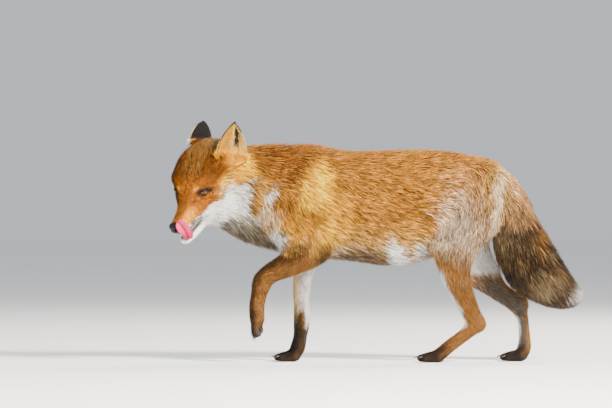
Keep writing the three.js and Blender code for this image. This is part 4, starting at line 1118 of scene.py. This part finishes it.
def buildEye(side):
    # rings of points about the line of sight, closer together at the front; the front bulges
    f = eyeFrames[side]
    gaze = unit(f["out"] + headForward * 0.25)
    right = unit(np.cross(gaze, headUp))
    rings = np.concatenate([np.linspace(0.02, 0.75, 26), np.linspace(0.8, math.pi - 0.05, 22)])
    theta, phi, way = ball(rings, eyeLook["columns"])
    radius = eyes["radius"] * (1 + eyeLook["bulge"] * np.exp(-(theta / eyeLook["bulgeAngle"]) ** 2))
    points = f["centre"] + way @ np.array([right, np.cross(right, gaze), gaze]) * radius[:, None]
    streak = 0.75 + 0.25 * np.sin(phi * 23 + np.sin(phi * 7) * 2)
    off = theta / eyeLook["irisAngle"]
    tint = np.where((off < 1)[:, None], times(streak * (1.25 - off * 0.5), np.array(eyeLook["iris"])),
                    eyeLook["white"])
    tint = mix(tint, eyeLook["irisRim"], np.exp(-((theta - eyeLook["irisAngle"]) / 0.07) ** 2))
    slit = np.abs(way[:, 0]) / eyeLook["pupilWide"] + (way[:, 1] / eyeLook["pupilHigh"]) ** 2
    tint = mix(tint, eyeLook["pupil"], 1 - smooth(slit, 0.85, 1.1))
    eye = addClosed("eye_" + side + "_ball", *closedTube(points, tint, len(rings), eyeLook["columns"]),
                    wetEye, "eye")
    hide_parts("eye_" + side)


# each ring of the lids: how far out from the slit's edge, and how high above the ball
lids = {"columns": 72, "steps": (-0.10, 0.0, 0.06, 0.14, 0.28, 0.5, 0.75, 1.0),
        "wide": 6.5, "high": 7.5, "lowerShare": 0.72, "tilt": 0.9,
        "lift": (-0.3, 0.5, 1.15, 1.5, 1.7, 1.6, 0.6, -3.0), "thick": 1.2,
        "tint": (0.005, 0.004, 0.003), "pale": (0.03, 0.012, 0.004)}


def buildLids(side):
    # a ring of skin round the slit: it starts against the ball at the slit's almond edge, rolls
    # over a soft rim, and sinks under the fur
    f = eyeFrames[side]
    columns = lids["columns"]
    c, s = np.cos(turns(columns)), np.sin(turns(columns))
    almond = np.abs(s) ** 1.25 * np.sign(s) * np.where(s > 0, 1.0, lids["lowerShare"])
    a = eyes["halfWide"] * c + times(lids["steps"], c * lids["wide"])
    b = eyes["halfHigh"] * almond - lids["tilt"] * c + times(lids["steps"], s * lids["high"])
    flat = np.sqrt(np.maximum(1 - (a * a + b * b) / eyes["radius"] ** 2, 0.0))
    depth = np.where(flat > 0.25, flat * eyes["radius"], 2.5) + np.array(lids["lift"])[:, None]
    local = np.stack([a, b, depth], -1).reshape(-1, 3)
    points = f["centre"] + local @ np.array([f["slant"], f["over"], f["out"]])
    n = len(points)
    tint = mix(plain(lids["tint"], n), lids["pale"], smooth(np.repeat(lids["steps"], columns), 0.35, 0.8))
    front = gridFaces(len(lids["steps"]), columns)
    rim = rimFaces(np.arange(columns), n)
    quads = np.concatenate([front, front[:, ::-1] + n, rim[:, [1, 0, 3, 2]], rim + n - columns])
    addClosed("lids_" + side, np.concatenate([points, points - f["out"] * lids["thick"]]), halves(quads),
              np.concatenate([tint, tint]), darkSkin, "nose")


noseLook = {"centre": (8.4, 0, -0.3), "radii": (8.2, 10.2, 9.8), "tint": (0.006, 0.005, 0.005),
            "power": 2.5, "nostrilAside": 0.50, "nostrilDepth": 0.42, "nostrilWide": 0.24,
            "slit": 0.16, "groove": 0.09, "rows": 72, "columns": 120}


def buildNose():
    # a rounded box in all directions from its middle, dented at two nostrils that run out
    # sideways as slits, and down a middle groove
    rows, columns, power = (noseLook[k] for k in ("rows", "columns", "power"))
    way = ball(np.linspace(0.02, math.pi - 0.02, rows), columns)[2]
    front, side, up = way.T
    aside = np.abs(side)
    pit = np.exp(-((aside - noseLook["nostrilAside"]) ** 2 + (up + 0.05) ** 2)
                 / noseLook["nostrilWide"] ** 2) * smooth(front, 0.2, 0.6)
    slit = np.exp(-((up + 0.16 + 0.25 * (aside - 0.5)) / 0.10) ** 2) * smooth(aside, 0.5, 0.75)
    groove = np.exp(-(side / 0.08) ** 2) * smooth(-up, -0.25, 0.1) * smooth(front, 0.1, 0.5)
    size = (np.abs(way) ** power).sum(1) ** (-1 / power) * (
        1 - noseLook["nostrilDepth"] * pit - noseLook["slit"] * slit - noseLook["groove"] * groove)
    local = way * size[:, None] * np.array(noseLook["radii"])
    local[:, 1] *= 1 - 0.16 * smooth(-local[:, 2], 0, 8)
    points = onHead(*noseLook["centre"]) + local @ np.array([headForward, headLeft, headUp])
    # the nostril pits are darkened: painted shade in the hollows
    tint = plain(noseLook["tint"], len(points)) * (1 - 0.75 * pit)[:, None]
    nose = addClosed("noseLeather", *closedTube(points, tint, rows, columns), noseSkin, "nose")
    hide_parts("nose")


# the muzzle's oval at places behind the nose tip, and the hair that hangs from it
lips = {"behind": (14, 28, 44, 62, 80), "wide": (13.5, 16.2, 18.5, 23, 31),
        "high": (13, 16, 18.8, 22.3, 28.5), "above": (-5, -4.8, -4.3, -1.8, 2.5),
        "from": 22, "to": 74, "angles": (22, 62), "count": 3000, "length": 7.5, "width": (0.6, 0.9)}


def buildLips():
    # roots on the lower flank of the muzzle's oval; short straight hair hanging down and back
    rng = np.random.default_rng(91)
    n = lips["count"]
    s = np.where(np.arange(n) % 2 == 0, 1.0, -1.0)
    b = rng.uniform(lips["from"], lips["to"], n)
    wide, high, above = (np.interp(b, lips["behind"], lips[k]) for k in ("wide", "high", "above"))
    angle = np.radians(rng.uniform(*lips["angles"], n))
    aside, drop = wide * np.cos(angle) * 0.96, above - high * np.sin(angle) * 0.96
    root = onHead(b, s * aside, drop)
    normal = unit(times(s * np.cos(angle) / wide, headLeft) - times(np.sin(angle) / high, headUp))
    way = unit(times(s * 0.12, headLeft) - headUp - times(rng.uniform(0.3, 0.7, n), headForward))
    length = lips["length"] * rng.uniform(0.6, 1.05, n) * (0.5 + 0.5 * smooth(b, 22, 34))
    tip = root + way * length[:, None] + normal * 1.4
    tint = paint(palette["white"] * rng.uniform(0.75, 1.05, (n, 1)),
                 ("dark", blob(np.c_[b, aside, drop], (38, 17, -9), (7, 9, 4)) * 0.8))
    writeTufts("coatLips", root, root, tip, normal, rng.uniform(*lips["width"], n), tint, tint,
               np.stack([b + s * 200, angle], 1))


tongueLook = {"tint": (0.60, 0.020, 0.11), "shade": (0.20, 0.004, 0.020), "groove": 0.7, "cup": 4.5,
              "columns": 40, "pieces": 8}


def buildTongue():
    # an oval carried along a path out of the mouth and up over the nose, creased down its middle
    path = headLimb([(46, 4, -25, 5, 2.4), (32, 7, -26.5, 6, 2.8), (19.5, 12.5, -28, 7.6, 3),
                     (12, 16.5, -24.5, 8, 3.6), (9.5, 18.5, -14, 8, 3.8), (8.5, 18.5, -4, 9.6, 4.4),
                     (8, 16.5, 4, 10.4, 4.8), (8, 13.0, 10, 8.6, 4.4), (8.5, 9.8, 13, 4.6, 2.6)],
                    1, [(0, 1)], side=headLeft - headForward * 0.8, pieces=tongueLook["pieces"])
    count, columns = len(path["length"]), tongueLook["columns"]
    turn, along = turns(columns), np.arange(count)[:, None]
    w, h = path["wide"][:-1, None], path["high"][:-1, None]
    a = w * np.cos(turn)
    crease = np.exp(-(a / (0.16 * w)) ** 2) * tongueLook["groove"] * h
    b = (h * np.sin(turn) - np.sign(np.sin(turn)) * crease * 0.6
         - tongueLook["cup"] * (a / 9) ** 2 * smooth(along / count, 0.45, 0.7))
    points = (path["start"][:, None] + path["across"][:, None] * a[..., None]
              + path["upward"][:, None] * b[..., None])
    # painted shade down the middle crease and over the part nearer the mouth
    dark = np.exp(-(a / (0.2 * w)) ** 2) * 0.8 + smooth(-along, -count * 0.64, -count * 0.42) * 0.7
    tint = mix(plain(tongueLook["tint"], dark.size), tongueLook["shade"], np.clip(dark.ravel(), 0, 1))
    tongue = addClosed("tonguePink", *closedTube(points.reshape(-1, 3), tint, count, columns), wetTongue,
                       "tongue")
    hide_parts("tongue")


# base and tip are behind, left, up on the head; opening is along forward, left, up
ears = {
    "left": {"base": (155, 50.2, 43.6), "tip": (185.9, 63.3, 95.9), "halfWide": 26.5, "sunk": 0.22,
             "opening": (1.0, 0.7, 0.0), "bulge": 2.2, "shoulder": 0.85, "rust": 0.06, "fringe": 1.0},
    "right": {"base": (187, -23.5, 45.5), "tip": (211, -23, 76.5), "halfWide": 21, "sunk": 0.5,
              "opening": (-0.4, -0.8, -0.47), "bulge": 1.7, "shoulder": 0.62, "rust": -0.12,
              "fringe": 0.7},
}
earShape = {"depth": 15.0, "wall": 2.6, "tip": 0.05, "rows": 40, "columns": 28,
            "back": 2300, "lining": 2600, "edge": 600, "rim": 700, "fringe": 900}    # tufts of each
earColours = {"cream": (0.56, 0.25, 0.008), "pale": (0.92, 0.60, 0.15), "slit": (0.02, 0.012, 0.008),
              "pink": (0.30, 0.15, 0.08)}
earColours = {name: np.array(tone) for name, tone in earColours.items()}


def earFrame(side):
    # base, axis from base to tip, the way it opens at right angles to that, across, and length
    e = ears[side]
    base, tip = onHead(*e["base"]), onHead(*e["tip"])
    axis = unit(tip - base)
    opening = np.array(e["opening"]) @ np.array([headForward, headLeft, headUp])
    facing = unit(opening - axis * (opening @ axis))
    return base, axis, facing, np.cross(axis, facing), np.linalg.norm(tip - base)


def earPoint(side, t, f, wall):
    # up the ear by t, across it by f from edge to edge; half-width is (1 - t^bulge)^shoulder,
    # drawn in near the base, and the leaf is hollowed towards its opening by 1 - f^2
    base, axis, facing, across, length = earFrame(side)
    e, up = ears[side], np.clip(t, 0, 1)
    narrow = np.clip(1 - up ** e["bulge"], 0, 1) ** e["shoulder"]
    width = e["halfWide"] * np.maximum(narrow, earShape["tip"]) * (1 - 0.8 * smooth(-t, 0, 0.35))
    hollow = earShape["depth"] * np.sqrt(np.maximum(1 - t, 0.02))
    back = hollow * (1 - f * f) + wall * (1 - 0.35 * f * f) - hollow * 0.55
    curl = 2.2 * np.sin(up * 3.0) * np.abs(f) ** 3
    return base + times(length * t, axis) + times(width * f, across) - times(back - curl, facing)


def slitOf(t, f):
    # 1 in the narrow bare gap that runs up inside the ear, wavering, a little behind its middle
    middle = 0.42 + 0.05 * np.sin(t * 40) * (1 - t)
    ends = smooth(t, 0.92, 0.78) * smooth(t, 0.12, 0.32)
    return smooth(np.abs(f - middle) / 0.27, 1.2, 0.7) * ends


def buildEar(side):
    # an inner and an outer sheet of the leaf, joined all round their edge
    rows, columns, sunk = earShape["rows"], earShape["columns"], ears[side]["sunk"]
    t = -sunk + (1 + sunk) * (1 - (1 - np.linspace(0, 1, rows)) ** 1.5)
    t, f = (a.ravel() for a in np.meshgrid(t, np.linspace(-1, 1, columns), indexing="ij"))
    points = np.concatenate([earPoint(side, t, f, wall) for wall in (0.0, earShape["wall"])])
    grid = gridFaces(rows, columns, False)
    n = rows * columns
    index = np.arange(n).reshape(rows, columns)
    loop = np.concatenate([index[0, :], index[1:, -1], index[-1, -2::-1], index[-2:0:-1, 0]])
    quads = np.concatenate([grid[:, ::-1], grid + n, rimFaces(loop, n)[:, ::-1]])
    inside = mix(plain(earColours["pink"], n), earColours["slit"], slitOf(t, f))
    inside = mix(inside, palette["rufous"] * 0.6, smooth(-t, -0.18, 0.0))
    tint = np.concatenate([inside, plain(palette["black"], n)])
    ear = addClosed("ear_" + side + "_skin", points, halves(quads), tint, darkSkin, "coat_dark")
    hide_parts("ear_" + side)
    furEar(side)


def earNormal(side, t, f, wall):
    # across the leaf, from small steps up and along it
    e = 0.01
    up, aside = (earPoint(side, t + a, np.clip(f + b, -1, 1), wall)
                 - earPoint(side, t - a, np.clip(f - b, -1, 1), wall) for a, b in ((e, 0), (0, e)))
    normal = unit(np.cross(up, aside))
    return normal * np.sign(normal @ earFrame(side)[2])[:, None], unit(up), unit(aside)


def furEar(side):
    # dark fur on the back, cream fur lining the hollow either side of its bare gap, longer hair
    # from both edges across it, a dark rim over the upper edge, and a fringe round the base
    rng = np.random.default_rng(60 + (side == "left"))
    cream, pale, wall, e = earColours["cream"], earColours["pale"], earShape["wall"], ears[side]
    sets = []

    def some(low, high):
        # one even random number for each tuft
        return rng.uniform(low, high, n)

    def shades(low, high):
        # the same as a column, to multiply colours
        return rng.uniform(low, high, (n, 1))

    def add(t, f, wall, sense, length, lift, width, tint, tipTint, lean):
        # roots at t and f, hair up the leaf leaning across it, lifted off the side of sense
        normal, up, aside = earNormal(side, t, f, wall)
        normal = normal * sense
        root = earPoint(side, t, f, wall)
        way = unit(up + aside * (lean + rng.normal(0, 0.12, n))[:, None])
        middle, tip = (root + way * (length * a)[:, None] + normal * (lift * b)[:, None]
                       for a, b in ((0.5, 0.65), (1, 1)))
        sets.append((root, middle, tip, normal, width, tint, tipTint,
                     np.stack([t + len(sets) * 10.0, f], 1)))

    n = earShape["back"]
    t, f = some(-0.15, 0.97), some(-1, 1)
    dark = palette["black"] * shades(0.7, 1.8)
    rust = smooth(-t + rng.normal(0, 0.03, n), -e["rust"], -e["rust"] + 0.16)
    dark = mix(dark, palette["gold"] * 0.8, rust)
    add(t, f, wall, -1, some(5, 8) * (1 - 0.6 * t), some(0.5, 1.4), some(0.8, 1.2), dark, dark * 1.1,
        -f * 0.3)
    n = earShape["lining"]
    t, f = some(-0.12, 0.93), some(-0.97, 0.97)
    keep = rng.random(n) > slitOf(t, f) * 0.97
    t, f, n = t[keep], f[keep], keep.sum()
    tint = mix(cream, pale, smooth(f, -0.5, 0.45)) * shades(0.6, 1.1)
    lean = np.where(f < 0.42, 0.5 - 0.45 * smooth(f, -0.2, 0.15), -0.15)
    add(t, f, 0.0, 1, some(5, 9) * (1 - 0.5 * t), some(0.6, 2.0), some(0.6, 0.9), tint * 0.8, tint, lean)
    n = earShape["edge"]
    t = some(-0.1, 0.5)
    edge = np.where(rng.random(n) < 0.45, 1.0, -1.0)
    f = edge * some(0.7, 0.98)
    tint = np.where((edge > 0)[:, None], pale, cream) * shades(0.8, 1.15)
    length = some(8, 15) * (1 - 0.7 * t)
    add(t, f, 0.0, 1, length, length * some(0.1, 0.28), some(0.5, 0.8), tint * 0.85, tint,
        -edge * some(0.3, 0.9))
    n = earShape["rim"]
    t = 1 - some(0.0, 1.0) ** 1.3
    edge = np.where(rng.random(n) < 0.5, 1.0, -1.0)
    rim = mix(pale, palette["black"], smooth(t + edge * -0.12 + rng.normal(0, 0.05, n), 0.50, 0.66))
    add(t, edge * some(0.95, 1.0), wall * 0.5, -1, some(3, 5) * (1.2 - 0.4 * t), some(0.1, 0.5),
        some(0.7, 1.1), rim, rim, edge * 0.3)
    n = earShape["fringe"]
    t, f = some(-0.3, 0.0), some(-1.05, 1.08)
    tint = palette["amber"] * shades(0.6, 1.25)
    if side == "right":
        tint = palette["crown"] * shades(0.7, 1.5)
        tint = mix(tint, palette["white"], (f > 0.86) * shades(0.4, 0.9)[:, 0])
    sense = 1 if side == "left" else -1
    length = some(12, 19) * e["fringe"]
    # the left ear's fringe is in front of it, the right ear's behind
    level = np.where(sense > 0, -some(0, 8), wall + some(0, 4))
    add(t, np.clip(f, -1, 1), level, sense, length, length * some(0.08, 0.3), some(0.8, 1.3), tint * 0.8,
        tint * 1.15, 0.0)
    writeTufts("coatEar" + side.capitalize(), *(np.concatenate(v) for v in zip(*sets)))


smallParts = {"clawLength": 9.0, "clawWide": 1.5, "clawTint": (0.055, 0.042, 0.032),
              "clawRings": 7, "clawSides": 8, "padTint": (0.035, 0.028, 0.026), "padRows": 18,
              "padColumns": 28, "toePad": (3.2, 4.2, 6.5), "heelPad": (4.0, 9.5, 7.5),
              "heelPlace": (-203.5, -37.5, 74.0), "whiskers": 11, "whiskerLength": 52.0,
              "whiskerWide": 0.22, "whiskerTint": (0.02, 0.016, 0.014), "whiskerRings": 9,
              "whiskerSides": 4}


def addTubes(name, tubes, kind):
    # many curved tapering tubes in one set of arrays, each from its base, way, bend and length:
    # the middle line is base + way s + bend s^2; kind says whose width, rings, sides and tint
    radius, rings, sides, tint = (smallParts[kind + k] for k in ("Wide", "Rings", "Sides", "Tint"))
    bases, ways, bends, lengths = (np.array(v) for v in zip(*tubes))
    ways = unit(ways)[:, None, :]
    bends = bends[:, None, :]
    s = np.linspace(0, 1, rings)[:, None]
    reach = lengths[:, None, None] * s
    along = bases[:, None, :] + ways * reach + bends * reach * s
    tangent = unit(ways + 2 * bends * s)
    first = unit(np.cross(tangent, np.array([0.31, 0.52, 0.8])))[:, :, None, :]
    second = np.cross(tangent, first[:, :, 0])[:, :, None, :]
    turn = turns(sides)[:, None]
    taper = radius * np.maximum(1 - s ** 1.5, 0.08)[:, :, None]
    ring = (first * np.cos(turn) + second * np.sin(turn)) * taper
    points = (along[:, :, None, :] + ring).reshape(len(tubes), -1, 3)
    points = np.concatenate([points, along[:, :1], along[:, -1:]], 1)
    one = np.zeros((rings * sides, 3))
    starts = np.arange(len(tubes)) * (rings * sides + 2)
    tri = starts[:, None, None] + closedTube(one, one, rings, sides)[1]
    points = points.reshape(-1, 3)
    addClosed(name, points, tri.reshape(-1, 3), plain(tint, len(points)), hornClaw, "claw")


def toeTips(name):
    # the tip and way of each toe; toes are the paws' chains of four segments
    for chain in foxChains:
        if chain["name"].endswith(name) and len(chain["length"]) == 4:
            way = chain["along"][-1]
            yield chain["start"][-1] + way * chain["length"][-1], way


def buildClaws():
    # one claw from the tip of each toe: it bends down on planted paws, back on the lifted one
    tubes = []
    for tip, way in toeTips("Paw"):
        if abs(way[2]) < 0.8:
            claw = [tip + way * 3.5 + [0, 0, 3.2], way + [0, 0, 0.15], [0, 0, -0.42]]
        else:
            claw = [tip + way * 3.0 + [-2.0, 0, 0], way + [-0.35, 0, 0], [0.45, 0, -0.05]]
        tubes.append((*claw, smallParts["clawLength"]))
    addTubes("claws", tubes, "claw")


def buildWhiskers():
    # thin tubes from the sides of the muzzle, back and outward, drooping
    rng = np.random.default_rng(77)
    tubes = []
    for s in (-1, 1):
        for _ in range(smallParts["whiskers"]):
            base = onHead(rng.uniform(20, 36), s * 14.5, rng.uniform(-13, -4))
            way = -headForward * rng.uniform(0.9, 1.2) + headLeft * s * 0.5
            way = way + headUp * rng.uniform(-0.3, 0.2)
            bend = -headForward * 0.25 - headUp * rng.uniform(0.05, 0.3)
            tubes.append((base, way, bend, smallParts["whiskerLength"] * rng.uniform(0.5, 1.0)))
    addTubes("whiskers", tubes, "whisker")


def buildPads():
    # the pads under the lifted paw: four toe pads and a larger one above, as flattened balls
    spots = [(tip + [5.2, 0, 3.0], smallParts["toePad"]) for tip, _ in toeTips("leftForePaw")]
    spots.append((smallParts["heelPlace"], smallParts["heelPad"]))
    rows, columns = smallParts["padRows"], smallParts["padColumns"]
    way = ball(np.linspace(0.03, math.pi - 0.03, rows), columns)[2]
    pads = [closedTube(np.array(centre) + way * radii, way, rows, columns) for centre, radii in spots]
    points = np.concatenate([p for p, _, _ in pads])
    tri = np.concatenate([t + i * len(pads[0][0]) for i, (_, t, _) in enumerate(pads)])
    addClosed("pads", points, tri, plain(smallParts["padTint"], len(points)), darkSkin, "nose")


for eyeSide in ("left", "right"):
    buildEye(eyeSide)
    buildLids(eyeSide)
    buildEar(eyeSide)
buildNose()
buildLips()
buildTongue()
buildClaws()
buildPads()
buildWhiskers()
report("face, ears and claws made")

# lengths in mm, but the floor's half side and the lamps' aim height in metres
view = {"width": 1071.0, "distance": 8900.0, "middleX": -126.0, "middleZ": 276.5, "sensor": 36,
        "floor": 30, "aimHeight": 0.25, "sky": 0.72, "skyTint": (0.86, 0.90, 0.96)}
# each lamp's place in metres, power in watts, size in metres and tint
lamps = {
    "key": ((2.3, -3.6, 2.5), 1080, 0.9, (1.0, 0.93, 0.82)),
    "fill": ((-3.2, -2.6, 1.6), 60, 2.4, (0.95, 0.97, 1.0)),
    "rim": ((1.8, 2.6, 2.6), 170, 1.4, (1.0, 0.95, 0.88)),
}


def link(name, data, location=(0, 0, 0), turn=(0, 0, 0)):
    # an object in the scene for a mesh, lamp or camera
    made = bpy.data.objects.new(name, data)
    bpy.context.scene.collection.objects.link(made)
    made.location, made.rotation_euler = location, turn
    return made


def buildStage():
    # a wide pale floor, an even sky, and lamps turned to the middle of the fox
    floorMesh = bpy.data.meshes.new("floor")
    corners = [(x * view["floor"], y * view["floor"], 0) for x, y in ((-1, -1), (1, -1), (1, 1), (-1, 1))]
    floorMesh.from_pydata(corners, [], [(0, 1, 2, 3)])
    floor = link("floor", floorMesh)
    floorMesh.materials.append(newMaterial("paleFloor", {
        "Base Color": (0.95, 0.945, 0.935, 1), "Roughness": 0.95, "Specular IOR Level": 0.1}))
    world = bpy.data.worlds.new("studio")
    bpy.context.scene.world = world
    world.use_nodes = True
    setSockets(world.node_tree.nodes["Background"],
               {"Color": (*view["skyTint"], 1), "Strength": view["sky"]})
    for name, (spot, power, size, tint) in lamps.items():
        lamp = bpy.data.lights.new(name, "AREA")
        lamp.energy, lamp.size, lamp.color = power, size, tint
        aim = np.array([0, 0, view["aimHeight"]]) - np.array(spot)
        link(name, lamp, spot, (math.acos(-aim[2] / np.linalg.norm(aim)), 0,
                                math.atan2(aim[1], aim[0]) - math.pi / 2))


def buildCamera():
    # level and far off on the fox's left; the view is width mm wide at the fox
    camera = bpy.data.cameras.new("camera")
    camera.sensor_width = view["sensor"]
    camera.lens = view["sensor"] * view["distance"] / view["width"]
    camera.clip_end = 100
    spot = np.array([view["middleX"] + shift[0], -view["distance"], view["middleZ"]]) * place["scale"]
    bpy.context.scene.camera = link("camera", camera, spot, (math.pi / 2, 0, 0))


buildStage()
buildCamera()
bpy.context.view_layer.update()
report("finished")
